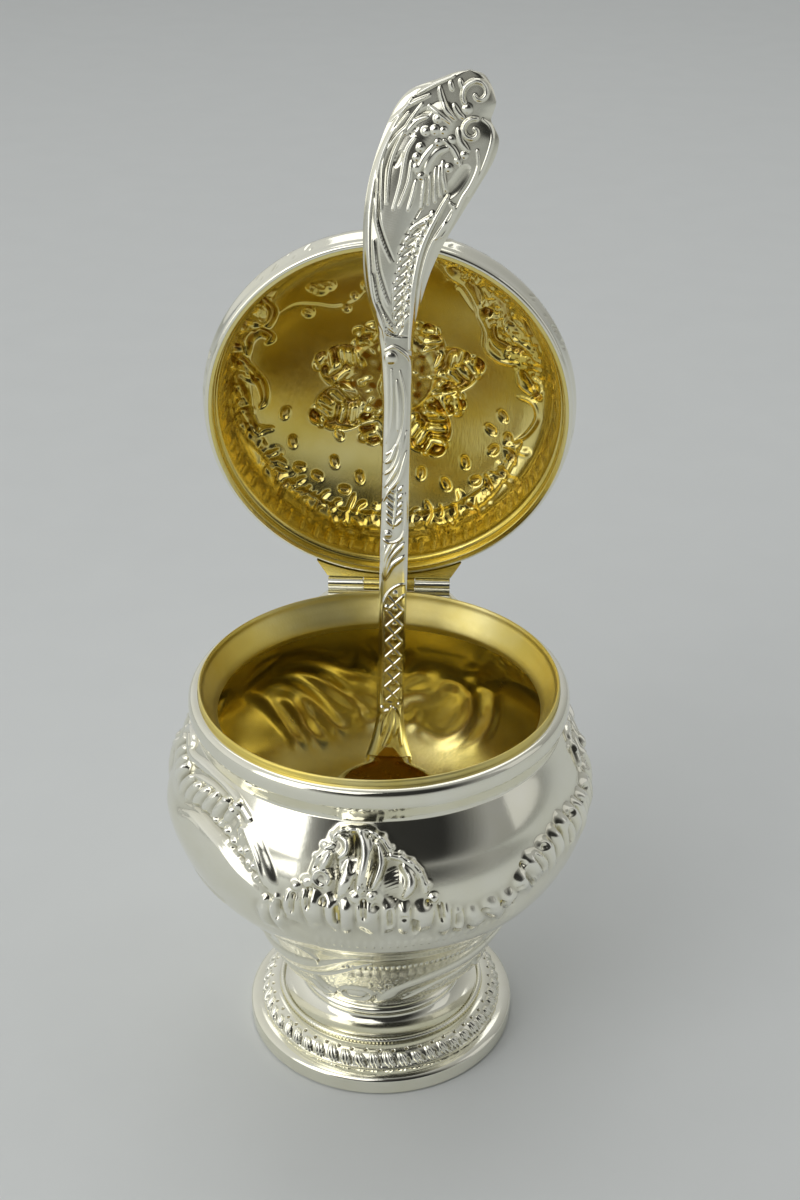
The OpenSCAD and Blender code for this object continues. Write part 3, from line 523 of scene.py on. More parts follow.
def shell():
    """The rocaille shell over the middle of the skirt: a soft mound, strong curved ribs, a hood
    and beads."""
    body.stroke([(-2.2, 52.0), (-2.0, 48.8), (-1.0, 45.6)], 10.5, 0.6, (0.75, 0.8), 1.2)
    body.stroke([(-12.5, 47.4), (10.5, 47.0)], 4.6, 0.45, (0.7, 0.7), 1.1)
    body.settle()
    for a, z, b, y, wide in ((-8.8, 50.2, -8.6, 45.0, 1.5), (-3.9, 53.0, -3.8, 48.8, 1.1),
                             (2.1, 51.8, 0.5, 47.0, 1.0), (6.2, 49.4, 6.2, 45.4, 2.6)):
        body.stroke([(a, z), (b, y)], wide, -0.5, (0.6, 0.6), 0.5)
    body.settle()
    for a0, a1, low, high in ((4.6, 7.9, 45.2, 49.2), (-9.8, -7.8, 45.6, 49.8)):
        for z in np.arange(low, high, 0.5):
            body.stroke([(a0, z - 0.3), (a1, z + 0.3)], 0.26, 0.14, (0.8, 0.8))
    ribs = (
        ([(-2.4, 53.7), (-1.0, 52.5), (-0.4, 51.0), (-0.9, 49.2), (-2.3, 46.6)], 1.6, 1.15),
        ([(0.7, 52.8), (1.3, 51.0), (0.9, 49.2), (-0.5, 46.9)], 0.95, 0.75),
        ([(2.5, 52.2), (3.5, 50.6), (3.4, 49.2), (1.2, 46.6)], 1.2, 0.95),
        ([(-7.8, 52.7), (-5.9, 52.3), (-5.5, 51.2), (-7.8, 50.1)], 1.1, 0.85),
        ([(-3.8, 50.0), (-5.0, 47.9), (-7.2, 45.4)], 1.9, 0.65),
        ([(-10.2, 50.6), (-11.0, 49.6), (-12.2, 48.5)], 1.4, 0.9),
        ([(9.4, 49.3), (10.9, 48.1), (10.9, 46.7), (9.2, 45.2)], 1.5, 0.95),
    )
    for points, width, height in ribs:
        body.stroke(points, width, height, (0.6, 0.4), 0.6)
    for points, width, height in (
            ([(-9.4, 52.3), (-8.2, 53.3), (-5.4, 53.7), (-2.6, 53.8), (0.2, 53.6), (4.0, 52.6),
              (6.2, 51.0)], 0.95, 0.62),
            ([(6.1, 50.6), (9.4, 50.1), (12.4, 48.9), (14.0, 47.4), (14.8, 45.6)], 1.15, 0.7),
            ([(-9.6, 51.6), (-11.6, 50.8), (-13.4, 49.4), (-14.6, 47.8)], 0.8, 0.5)):
        body.stroke(points, width, height, (0.6, 0.5), 0.6)
    hook = [(-11.7 + 2.1 * math.cos(t), 47.3 + 1.05 * math.sin(t)) for t in np.linspace(-0.6, 4.9, 12)]
    body.stroke(hook, 0.75, 0.6, (0.8, 0.6))
    body.settle()
    for n in range(9):
        t = n / 8
        body.stroke([(-2.9 - 1.6 * t, 49.7 - 2.0 * t), (-4.9 - 1.6 * t, 49.5 - 2.0 * t)], 0.22, -0.12,
                    (0.8, 0.8))
    for n, (a, z) in enumerate(((-13.6, 49.9), (-11.9, 51.4), (-9.9, 52.8), (-7.4, 53.5), (-4.6, 53.7),
                                (-1.6, 53.7), (1.6, 53.5), (4.2, 52.9), (6.6, 51.6), (9.0, 50.7),
                                (11.6, 49.8), (13.8, 48.4), (15.4, 46.6))):
        body.bead((a, z), 0.46 + 0.1 * math.sin(2.1 * n), 0.3)
    for a, z, r in ((-2.9, 45.4, 0.85), (-1.6, 46.4, 0.6), (1.2, 45.6, 0.6), (16.6, 44.6, 0.75),
                    (-15.5, 46.5, 0.9), (-18.4, 45.6, 0.7)):
        body.bead((a, z), r, 0.6)
    body.settle()
    for a, z, y in ((-23.0, 42.7, 40.0), (-19.0, 44.2, 41.5), (-14.7, 45.4, 42.8), (-7.6, 43.4, 40.6),
                    (-0.8, 44.8, 42.4), (5.5, 43.4, 40.4), (12.1, 41.4, 38.0), (18.5, 43.2, 40.8),
                    (23.2, 41.2, 38.8)):
        slit((a, z), (a + 0.02 * a, y), 0.95)
    for a, z in ((1.9, 44.2), (9.1, 42.4), (15.2, 44.0), (-11.0, 44.2)):
        body.bead((a, z), 0.55, -0.5)


def waist(turn):
    """Under the belly: rows of ticks, a plain ribbon winding down, and a cabochon on matted ground."""
    def s(points, *look):
        body.stroke(turned(points, turn), *look)

    for z, tall in ((36.2, 1.2), (25.4, 1.0)):
        for a in np.arange(-14, 44, 2.2):
            s([(a, z), (a, z - tall)], 0.42, 0.22, (0.8, 0.3))
    s([(86, 29.5), (70, 23.5), (52, 20.6), (30, 19.4), (12, 17.2), (2, 14.2)], 3.4, 0.5, (0.2, 0.4), 0.3)
    s([(90, 27.0), (72, 21.4), (52, 18.4), (30, 17.0), (14, 14.6)], 0.6, 0.4)
    s([(-26, 30), (-22, 25.5), (-26, 21.5), (-33, 20.5), (-36, 23)], 0.8, 0.4)
    ring = [(-9 + 7.5 * math.cos(t), 16.4 + 1.5 * math.sin(t)) for t in np.linspace(0, 2 * math.pi, 17)]
    s(ring, 0.6, 0.4, (1, 1))
    s([(-11.5, 16.4), (-6.5, 16.4)], 1.7, 0.5, (0.9, 0.9), 0.6)
    body.fan((-20 + turn, 16), [(-30 + turn, 18.6), (-33 + turn, 16.4), (-30 + turn, 13.6)], 0.1, 0.9,
             0.4)


def back_spray():
    """Behind the hinge: long fronds, a plain cartouche between scrolls, and a small palmette."""
    spine, root = 180.5, 36
    body.fan((-131, 45.5), [(-148, 33.5), (-155, 33.0), (-163, 34.2), (-170, 37.5), (-172, 42.0),
                            (-166, 46.5)],
             -0.1, 1.9, 0.95, (0.4, 0.5))
    body.stroke([(-146, 42.0), (-150, 39.2), (-151, 35.4)], 2.3, 1.2)
    body.stroke([(-128, 47.5), (-137, 50.5), (-147, 50.0), (-152, 47.2)], 1.2, 0.7)
    body.stroke([(170, 35.0), (163, 33.4), (156, 35.0), (153, 38.6), (156, 42.0), (162, 42.8),
                 (165.5, 40.2)], 1.3, 0.9)
    body.stroke([(152, 33.4), (147.5, 35.2), (145.5, 38.6), (147, 42.4), (151, 43.6)], 1.2, 0.8)
    body.beads([(139, 49.5), (143, 45.0), (147, 41.0), (150, 37.0)], 0.55, 0.7, 1.7)
    for side in (-1, 1):
        leaves = [(4.2, 51.4), (8.0, 48.6), (11.0, 44.6), (12.4, 40.4)]
        body.fan((spine, root), [(spine + a * side, z) for a, z in leaves], 0.1 * side, 1.7, 0.7)
        scroll = [(2, 36.5), (7, 35.0), (9.5, 36.6), (7.5, 38.0)]
        body.stroke([(spine + a * side, z) for a, z in scroll], 1.1, 0.7)
    body.fan((spine, root), [(spine, 52.4)], 0, 1.9, 0.8)


def matting(relief, rows, amount):
    """Fine punched ground between two rows of a sheet, fading at both."""
    lo, hi = rows
    fade = smooth((relief.v - lo) / 1.5) * smooth((hi - relief.v) / 1.5)
    dots = rng.random(relief.h.shape)
    dots = (dots + np.roll(dots, 1, 0) + np.roll(dots, 1, 1) + np.roll(np.roll(dots, 1, 0), 1, 1)) / 4
    low = relief.h < 0.12
    relief.h += amount * fade[:, None] * (dots - 0.5) * low


panels()
for half in (0, 180):
    border(half)
for turn, first in ((0, -31), (180, 56)):
    skirt(turn, first, 96)
    skirt_cuts(turn, first)
shell()
for quarter in (0, 90, 180, 270):
    waist(quarter)
back_spray()
MATTED = (11.5, 22)
MATTING_DEPTH = 0.3
matting(body, run_at(MATTED), MATTING_DEPTH)
# How far, in mm, the metal rounds the strokes outside and on its gilt back
SOFT_OUTSIDE, SOFT_BACK = 0.1, 0.75
body.h = body.blurred(SOFT_OUTSIDE)

turns, rows = ((1150, 340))
angle = np.linspace(-math.pi, math.pi, turns, endpoint=False)
along = np.linspace(0, run[-1], rows)
back = body.blurred(SOFT_BACK)
# Painted shade in the hollows and painted highlight on the proud relief outside; on the gilt lining they
# are turned over, as the relief shows from behind
painted_shading_out, painted_shading_in = painted_relief_shading(body, 0.9, 0.95), 1 - painted_relief_shading(body, 1.2, 0.35)


def body_points(steps, depth, field):
    """Points of the bent sheet at a depth under its plain surface, moved out by a field of heights."""
    r, z = np.interp(steps, run, line[:, 0]), np.interp(steps, run, line[:, 1])
    nr, nz = normals(steps, r, z)
    lift = body.sample(angle[None, :] * BELLY_R, steps[:, None], field)
    fade = smooth(steps / 0.8) * smooth((run[-1] - steps) / 0.8)
    out = lift * fade[:, None] - depth
    rad = r[:, None] + out * nr[:, None]
    hgt = z[:, None] + out * np.where(depth > 0, 0, nz)[:, None]
    return around(rad, angle[None, :], np.clip(hgt, bowl_bottom, bowl_top))


FLOOR_T = 1.5
floor_run = run_at(bowl_bottom + FLOOR_T)
coarse = along[::4] if along[::4][-1] == along[-1] else np.r_[along[::4], along[-1]]
inner_steps = np.linspace(floor_run, run[-1], rows * 3 // 4)
half_steps = coarse[coarse > floor_run]
skin = body_points(along, 0.0, body.h)
core = body_points(half_steps, BOWL_WALL / 2, back)[::-1]
outside = np.concatenate([skin, core])
tone = np.concatenate([body.sample(angle[None, :] * BELLY_R, along[:, None], painted_shading_out),
                       plain_tone(core)])
dress(mesh_of("bowl_outside", outside, (0, 0, bowl_bottom), (0, 0, bowl_bottom + FLOOR_T / 2), False,
              tone),
      "pot", ["bowl"], silver)
lining = body_points(inner_steps, BOWL_WALL, back)[::-1]
gilding = np.concatenate([core[::-1], lining])
tone = np.concatenate([plain_tone(core),
                       body.sample(angle[None, :] * BELLY_R, inner_steps[::-1][:, None], painted_shading_in)])
dress(mesh_of("bowl_gilding", gilding, (0, 0, bowl_bottom + FLOOR_T / 2), (0, 0, bowl_bottom + FLOOR_T),
              False, tone),
      "pot", ["bowl"], gilt_bright)


# Mouth

rim_low, rim_high = box_mm("mouth_rim")
collar_low, collar_high = box_mm("mouth_collar")
NECK_R = 26.5
SEAM = 0.05


def mouth():
    n = 360
    r_in, r_out, z0, z1 = collar_high[0] + SEAM, rim_high[0], rim_low[2], rim_high[2]
    edge, band = 0.8, 2.0
    belly = z1 - edge - band / 2
    bend = np.radians(np.linspace(0, 90, 20))
    fall = np.linspace(0, 1, 20)
    c, s = np.cos(bend) ** 0.75, np.sin(bend) ** 0.75
    roll = np.vstack([np.c_[r_out - (r_out - NECK_R) * smooth(fall), belly - (belly - z0) * fall][::-1],
                      np.c_[r_out - (edge + 0.35) * (1 - c), belly + (z1 - belly) * s][1:]])
    profile = np.vstack([[(r_in, z0)], roll, [(r_in, z1)]])
    dress(loop_mesh("mouth_rim_roll", profile, n), "pot", ["mouth_rim"], silver_plain)
    r, z0, z1 = collar_high[0], collar_low[2], collar_high[2]
    flare = spline([(r, z1 - 0.3), (r - 0.12, z1 - 0.05), (r - 0.3, z1), (r - 0.5, z1 - 0.3),
                    (25.3, z1 - 1.1), (24.5, z1 - 2.3), (23.8, z1 - 3.4), (23.4, z1 - 4.4),
                    (23.6, z1 - 4.8), (24.4, z0 + 0.3), (25.0, z0)], 0.1)
    dress(loop_mesh("mouth_collar_band", np.vstack([[(r, z0)], flare]), n), "pot", ["mouth_collar"],
          gilt_soft)


mouth()


# Foot

def foot():
    n = 480
    hi = box_mm("foot_ring")[1]
    r, side, w, h, seat = hi[0], 2.2, 2.0, 0.9, 1.3
    top = hi[2]
    edge = arc((r - 0.3, 0.3), 0.3, 0.3, -90, 0, 6)
    profile = np.vstack([[(r - w - seat, 0)], edge, arc((r - w, side), w, h, 0, 90, 22),
                         [(r - w - seat, top)]])
    dress(loop_mesh("base_ring", profile, n), "pot", ["foot_ring"], silver_plain)
    lo, hi = box_mm("stem_collar")
    mid, seat_r, inner = (lo[2] + hi[2]) / 2, hi[0] - 0.55, hi[0] - 0.55 - 2.8
    profile = np.vstack([[(inner, lo[2])], arc((seat_r - 0.55, mid), 1.1, (hi[2] - lo[2]) / 2, -90, 90,
                                               18),
                         [(inner, hi[2])]])
    dress(loop_mesh("stem_bead", profile, n), "pot", ["stem_collar"], silver_plain)
    lo, hi = box_mm("foot_wire")
    wide, tall = 0.7, hi[2] - lo[2]
    mid_r = hi[0] - wide / 2
    a = np.linspace(0, 2 * np.pi, 1600, endpoint=False)
    t = np.radians(np.linspace(-30, 210, 11))
    strand = 0.035 * np.abs(np.sin(85 * a[None, :] + 1.6 * t[:, None]))
    rr = mid_r + (wide / 2 - 0.03 + strand) * np.cos(t)[:, None]
    zz = lo[2] + tall - wide / 2 + (wide / 2 - 0.03 + strand) * np.sin(t)[:, None]
    rope = around(rr, a[None, :], np.maximum(zz, lo[2]))
    dress(mesh_of("foot_wire_rope", np.concatenate([rope, rope[:1]])), "pot", ["foot_wire"],
          silver_plain)


foot()


def foot_dome():
    """The raised part of the foot: a chased band of leaves and punched beads, a step and a cove."""
    lo, hi = box_mm("foot_dome")
    base, band_w, band_h, wire_w, wall = lo[2], 2.6, 2.5, 1.0, 0.9
    seat_r = hi[0] + SEAM
    step_r = seat_r - band_w
    cove_r, top = step_r - wire_w, hi[2]
    cove_top = 12.2
    bed = base + band_h
    cove_foot = bed + 0.6
    curve = arc((step_r, base), band_w - SEAM, band_h, 0, 90, 40)
    length = run_of(curve)
    mean_r = step_r + band_w * 0.6
    sheet = Relief(-math.pi * mean_r, math.pi * mean_r, 0, length[-1], 0.07, wraps=True)
    count = 52
    for n in range(count):
        u = 2 * math.pi * mean_r * n / count - math.pi * mean_r
        wob = 0.12 * math.sin(3.1 * n)
        tall = 2.35 + 0.25 * math.sin(1.7 * n)
        for du, gain in ((-0.55, 0.75), (0.0, 1.0), (0.55, 0.75)):
            sheet.stroke([(u + du + 0.5 + wob, 0.45), (u + du + 0.1, 1.3), (u + 0.55 * du - 0.35, tall)],
                         0.58, 0.38 * gain, (0.5, 0.6))
        sheet.stroke([(u + 1.05 + wob, 0.4), (u + 0.7, tall - 0.6)], 0.34, -0.22)
    sheet.settle()
    for n in range(count):
        u = 2 * math.pi * mean_r * (n + 0.32) / count - math.pi * mean_r
        sheet.bead((u, 2.85 + 0.08 * math.sin(2.3 * n)), 0.26, -0.4)
    sheet.stroke([(x, 0.22) for x in np.linspace(-math.pi * mean_r, math.pi * mean_r, 40)], 0.34, 0.12,
                 (1, 1))
    turns = 1500
    a = np.linspace(-math.pi, math.pi, turns, endpoint=False)
    steps = np.linspace(0, length[-1], 64)
    r, z = np.interp(steps, length, curve[:, 0]), np.interp(steps, length, curve[:, 1])
    nr, nz = normals(steps, r, z)
    lift = sheet.sample(a[None, :] * mean_r, steps[:, None]) * smooth(steps / 0.15)[:, None]
    lift *= smooth((length[-1] - steps) / 0.3)[:, None]
    band = around(r[:, None] + lift * nr[:, None], a[None, :], z[:, None] + lift * nz[:, None])
    cove = arc((cove_r, top), cove_r - cove_top, top - cove_foot, -90, -180, 18)
    inner_r = 9.4
    rest = np.vstack([[(step_r - 0.15, bed - 0.1), (step_r - 0.3, bed), (cove_r, bed)], cove,
                      [(inner_r, top), (inner_r, top - wall), (cove_top - wall, top - wall),
                       (cove_r - wall, cove_foot - wall),
                      (cove_r - wall, bed - wall), (step_r - wall, bed - wall),
                      (seat_r - 1.3 + SEAM, base)]])
    plain = revolved(rest, a)
    rows = np.concatenate([band, plain, band[:1]])
    # Painted shade in the punched beads and between the leaves, painted highlight on the raised leaves
    shade = sheet.sample(a[None, :] * mean_r, steps[:, None], painted_relief_shading(sheet, 0.5, 1.6))
    tone = np.concatenate([shade, plain_tone(plain), shade[:1]])
    dress(mesh_of("foot_chasing", rows, tone=tone), "pot", ["foot_dome"], silver)


foot_dome()


# Lid, described closed and then opened about the hinge

hinge = next(j for j in frame["joints"] if j["name"] == "lid_hinge")
HINGE = np.array(hinge["pos_m"]) / MM


def opened(p):
    """From the closed lid, with heights above the hinge axis, to the open lid."""
    c, s = math.cos(math.radians(LID_OPEN)), math.sin(math.radians(LID_OPEN))
    y = p[..., 1] - HINGE[1]
    return np.stack([p[..., 0], HINGE[1] + y * c + p[..., 2] * s, HINGE[2] - y * s + p[..., 2] * c], -1)


BEZEL_R = box_mm("lid_bezel")[1][0]
BEZEL_IN_R = 26.35
DOME_R = box_mm("lid_dome")[1][0]
dome = Relief(-26, 26, -26, 26, 0.08)


def leaf_lobe(centre, heading, length, width):
    """A hollow leaf of the rosette as it shows from inside: two rows of slanted grains beside a
    bare vein."""
    a = math.radians(heading)
    along_, across = np.array([math.cos(a), math.sin(a)]), np.array([-math.sin(a), math.cos(a)])
    c = np.asarray(centre, float)
    dome.settle()
    for side, k in ((-0.3, 0.82), (0, 1), (0.3, 0.82)):
        dome.stroke([c + across * side * width * 0.6, c + along_ * length * 0.5 + across * side * width,
                     c + along_ * length * k * 0.94 + across * side * width * 0.8], width * 0.66, 1.5,
                     (0.7, 0.7), 0.28)
    dome.settle()
    n = round(length / 1.6)
    for i in range(n):
        t = (i + 0.6) / n
        spread = width * 0.27 * math.sin(math.pi * min(1, 0.3 + 0.72 * t))
        for side in (-1, 1):
            wob = 0.24 * rng.standard_normal(2)
            p = c + along_ * length * (0.96 * t - 0.05) + across * side * (spread - 0.7) + wob
            q = p + along_ * 1.0 + across * side * 1.75
            dome.stroke([p, q], rng.uniform(1.5, 1.9), -rng.uniform(0.9, 1.4), (0.9, 0.8), 0.6)


def ragged(points, width, count, depth, size=1.0):
    """A rocaille edge: short curled leaves and hollows laid along a path."""
    p = spline(points, 0.3)
    for i in range(count):
        t = (i + 0.5 * rng.random()) / count
        j = min(len(p) - 2, int(t * (len(p) - 1)))
        head = math.atan2(*(p[j + 1] - p[j])[::-1]) + rng.choice((-1, 1)) * (0.5 + 0.9 * rng.random())
        d = np.array([math.cos(head), math.sin(head)])
        start = p[j] + width * 0.45 * rng.standard_normal(2)
        bend = np.array([-d[1], d[0]]) * rng.uniform(-0.6, 0.6)
        reach = size * rng.uniform(1.2, 2.6)
        dome.stroke([start, start + d * reach * 0.5 + size * bend, start + d * reach],
                    size * rng.uniform(0.5, 1.1),
                    depth * rng.uniform(0.5, 1.0) * rng.choice((1, 1, -0.6)), (0.6, 0.4), 0.6)


def paint_dome():
    """Ornament of the lid in the lid's plane: x to the right and y towards the hinge. Heights rise
    outwards, so what is raised outside shows hollow inside."""
    for centre, heading, length, width in (
            ((-3.0, 0.0), 202, 8.6, 6.0), ((-3.2, 3.6), 162, 9.4, 6.0), ((3.2, -2.2), 292, 6.6, 5.6),
            ((3.6, 0.0), 344, 10.2, 6.0), ((3.0, 4.4), 62, 8.6, 6.4), ((-1.6, -2.0), 250, 6.4, 4.6),
            ((-1.2, 5.4), 112, 5.6, 4.8), ((4.4, 2.4), 16, 6.6, 4.4)):
        leaf_lobe(centre, heading, length, width)
    dome.settle()
    edge = [(7.1, -20.7), (9.1, -17.9), (11.2, -16.0), (12.6, -13.3), (13.7, -10.6), (14.4, -8.7),
            (14.5, -5.9), (16.6, -4.0), (19.4, -3.5), (19.9, -0.5), (22.0, 0.9)]
    right = [(9.6, -19.8), (13.2, -16.4), (16.4, -12.6), (18.6, -8.6), (20.8, -5.0), (22.4, -1.4)]
    left = [(-17.6, -16.2), (-20.6, -11.6), (-22.6, -6.8), (-23.2, -0.4), (-22.4, 6.4), (-19.6, 11.6)]
    low = [(-19.8, 11.6), (-17.4, 15.8), (-13.8, 19.0), (-8.2, 22.2), (0, 23.2), (7.8, 22.2),
           (13.8, 18.8), (17.6, 14.2), (20, 9)]
    for path, wide in ((right, 6.6), (left, 2.6), (low, 2.2)):
        dome.stroke(path, wide, 0.55, (0.4, 0.4), 0.3)
    dome.settle()
    ragged(right, 2.3, 190, 0.34, 0.55)
    ragged(left, 1.2, 36, 0.5)
    ragged(low, 1.0, 64, 0.6, 1.1)
    dome.stroke(edge, 0.7, -0.4, (0.6, 0.5))
    dome.settle()
    for path, width, height in (
            ([(-22.2, -10.0), (-21.4, -13.8), (-19.4, -14.6), (-17.8, -12.3), (-18.8, -9.8),
              (-20.2, -10.6)], 1.3, 0.95),
            ([(-21.9, -5.4), (-21.4, -7.8), (-19.8, -8.9), (-18.2, -7.6), (-19.0, -6.9)], 1.3, 1.0),
            ([(-23.8, -6.0), (-23.0, -4.9), (-21.3, -2.0), (-20.0, 0.4), (-19.8, 3.0), (-20.5, 3.9)],
             1.4, 0.95),
            ([(-23.7, -2.0), (-22.9, 0.9), (-22.2, 3.0)], 1.2, 0.7),
            ([(-23.0, 3.9), (-22.0, 5.8), (-21.2, 8.2)], 1.5, 0.75),
            ([(8.8, -19.1), (10.6, -18.2)], 1.0, 0.5),
            ([(11.3, -17.1), (12.9, -15.0), (13.3, -13.4)], 1.4, 0.6),
            ([(15.4, -9.6), (15.8, -7.3), (17.6, -6.3), (19.3, -5.9), (21.8, -5.3)], 1.1, 0.65),
            ([(16.4, -12.7), (17.9, -8.4), (20.7, -6.6), (22.1, -4.6)], 0.8, -0.45),
            ([(14.8, -15.6), (16.9, -13.2), (17.8, -10.8), (20.0, -8.8)], 0.9, 0.5),
            ([(19.8, -12.0), (21.4, -9.0), (23.0, -6.6)], 0.8, 0.4),
            ([(19.8, -2.8), (21.4, -0.6), (22.6, 0.9)], 1.1, 0.6),
            ([(19.7, 1.6), (22.0, 2.2), (22.7, 4.4), (21.2, 7.4), (18.9, 9.4)], 0.7, -0.35)):
        dome.stroke(path, width, height)
    for x, y, r in ((14.3, -11.8, 0.85), (-23.4, -6.9, 0.8), (22.4, 0.9, 0.7)):
        dome.bead((x, y), r, 0.9)
    dome.settle()
    stem = [(-17.4, -11.4), (-14.6, -13.0), (-11.6, -12.8), (-8.4, -12.2), (-5.2, -13.4), (-3.2, -15.8)]
    dome.stroke(stem, 0.45, -0.3, (0.5, 0.3))
    for x, y, r in ((-10.6, -15.8, 1.3), (-9.2, -16.2, 0.9), (-11.8, -16.0, 0.8), (-12.6, -11.6, 0.9),
                    (-6.8, -12.0, 0.6), (-3.6, -16.0, 0.9), (-5.6, -14.2, 0.5)):
        dome.bead((x, y), r, 0.55)
    dome.settle()
    for x, y in ((-10.6, -15.8), (-9.2, -16.2), (-12.6, -11.6), (-3.6, -16.0)):
        dome.stroke([(x - 0.5, y - 0.3), (x + 0.5, y + 0.4)], 0.5, -0.35)
    for x, y, turn in ((-15.7, 10.4, 80), (-14.7, 14.5, 20), (-9.2, 14.2, 70), (-11.9, 16.2, 35),
                       (-7.6, 18.6, 15), (-5.2, 16.8, 75), (-8.4, 9.8, 60), (17.4, 5.4, 60),
                       (15.6, 7.9, 40), (16.0, 11.1, 130), (11.6, 13.7, 80), (13.3, 16.3, 150),
                       (8.6, 17.4, 60), (-16.8, 5.6, 110), (18.2, 9.0, 100), (4.6, 16.0, 95)):
        a = math.radians(turn)
        d = np.array([math.cos(a), math.sin(a)]) * 0.62
        c = np.array([x, y])
        dome.stroke([c - d, c + d], 1.35, 0.5, (0.7, 0.5), 0.5)
        dome.stroke([c - d * 0.3, c + d * 0.6], 0.55, 0.12, (0.7, 0.5), 0.5)


paint_dome()
SOFT_DOME, SOFT_DOME_BACK = 0.12, 0.3
dome.h = dome.blurred(SOFT_DOME)


def lid_dome():
    turns, rows = ((820, 190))
    a = np.linspace(0, 2 * np.pi, turns, endpoint=False)
    from_crown = np.hypot(dome.u[None, :], dome.v[:, None])
    outward = smooth((from_crown - LEAF_REACH + 0.4) / 2.2)
    back_ = np.minimum(dome.blurred(SOFT_DOME_BACK), 0.2 + 1.5 * outward)
    front_ = np.minimum(dome.h, 0.52 + 1.2 * outward)

    def sheet(radius, rise, field, steps):
        """Points from the dome's edge to near its crown, moved outwards by a field of heights."""
        r = radius * np.cos(np.pi / 2 * steps)
        z = BORDER_TOP + rise * np.sin(np.pi / 2 * steps)
        p = around(r[:, None], a[None, :], z[:, None])
        nr, nz = r / radius ** 2, (z - BORDER_TOP) / rise ** 2
        size = np.hypot(nr, nz)
        lift = dome.sample(p[..., 0], p[..., 1], field) * smooth(steps / 0.06)[:, None]
        lift *= smooth((1 - steps) / 0.02)[:, None]
        up = around((nr / size)[:, None], a[None, :], (nz / size)[:, None])
        return p + up * lift[..., None]

    steps = np.linspace(0, 0.985, rows)
    shell_ = sheet(DOME_R, DOME_RISE, back_, steps)
    middle = sheet(DOME_R - DOME_WALL / 2, DOME_RISE - DOME_WALL / 2, back_, steps[::3])
    lining_ = sheet(DOME_R - DOME_WALL, DOME_RISE - DOME_WALL, front_, steps)
    crown = [np.array([0, 0, BORDER_TOP + DOME_RISE - d]) for d in (0, DOME_WALL / 2, DOME_WALL)]
    # Painted shade and highlight from the relief: outside on the silver, and turned over on the gilt
    # lining, where what is raised outside is hollow
    tone_ = painted_relief_shading(dome, 0.8, 0.75)
    shade = dome.sample(shell_[..., 0], shell_[..., 1], tone_)
    rows_ = np.concatenate([middle[::-1], shell_])
    tone = np.concatenate([plain_tone(middle), shade])
    dress(mesh_of("lid_outside", opened(rows_), opened(crown[1]), opened(crown[0]), False, tone),
          "lid", ["lid_dome"], silver)
    shade = 1 - dome.sample(lining_[..., 0], lining_[..., 1], tone_)
    rows_ = np.concatenate([lining_[::-1], middle])
    tone = np.concatenate([shade[::-1], plain_tone(middle)])
    dress(mesh_of("lid_gilding", opened(rows_), opened(crown[2]), opened(crown[1]), False, tone),
          "lid", ["lid_dome"], gilt)


lid_dome()


def cut_notch(objs):
    """The spoon's notch in the front of the lid, cut through the pieces of its edge."""
    half, corner = NOTCH_W / 2, 1.2
    outline = np.vstack([[(-half, -1)], [(half, -1)],
                         arc((half - corner, NOTCH_H - corner), corner, corner, 0, 90, 8),
                         arc((corner - half, NOTCH_H - corner), corner, corner, 90, 180, 8)])
    rows_ = np.stack([np.c_[NOTCH_X + outline[:, 0], np.full(len(outline), y), outline[:, 1]]
                      for y in (-BEZEL_R - 2, -BEZEL_IN_R + CAVETTO_W)])
    ends = [(NOTCH_X, y, NOTCH_H / 2) for y in (-BEZEL_R - 2, -BEZEL_IN_R + CAVETTO_W)]
    cutter = mesh_of("notch_cutter", opened(rows_), *opened(np.array(ends)), flip=True)
    for obj in objs:
        cut = obj.modifiers.new("notch", "BOOLEAN")
        cut.object, cut.solver = cutter, "EXACT"
        graph = bpy.context.evaluated_depsgraph_get()
        result = bpy.data.meshes.new_from_object(obj.evaluated_get(graph))
        obj.modifiers.clear()
        obj.data = result
    bpy.data.objects.remove(cutter)


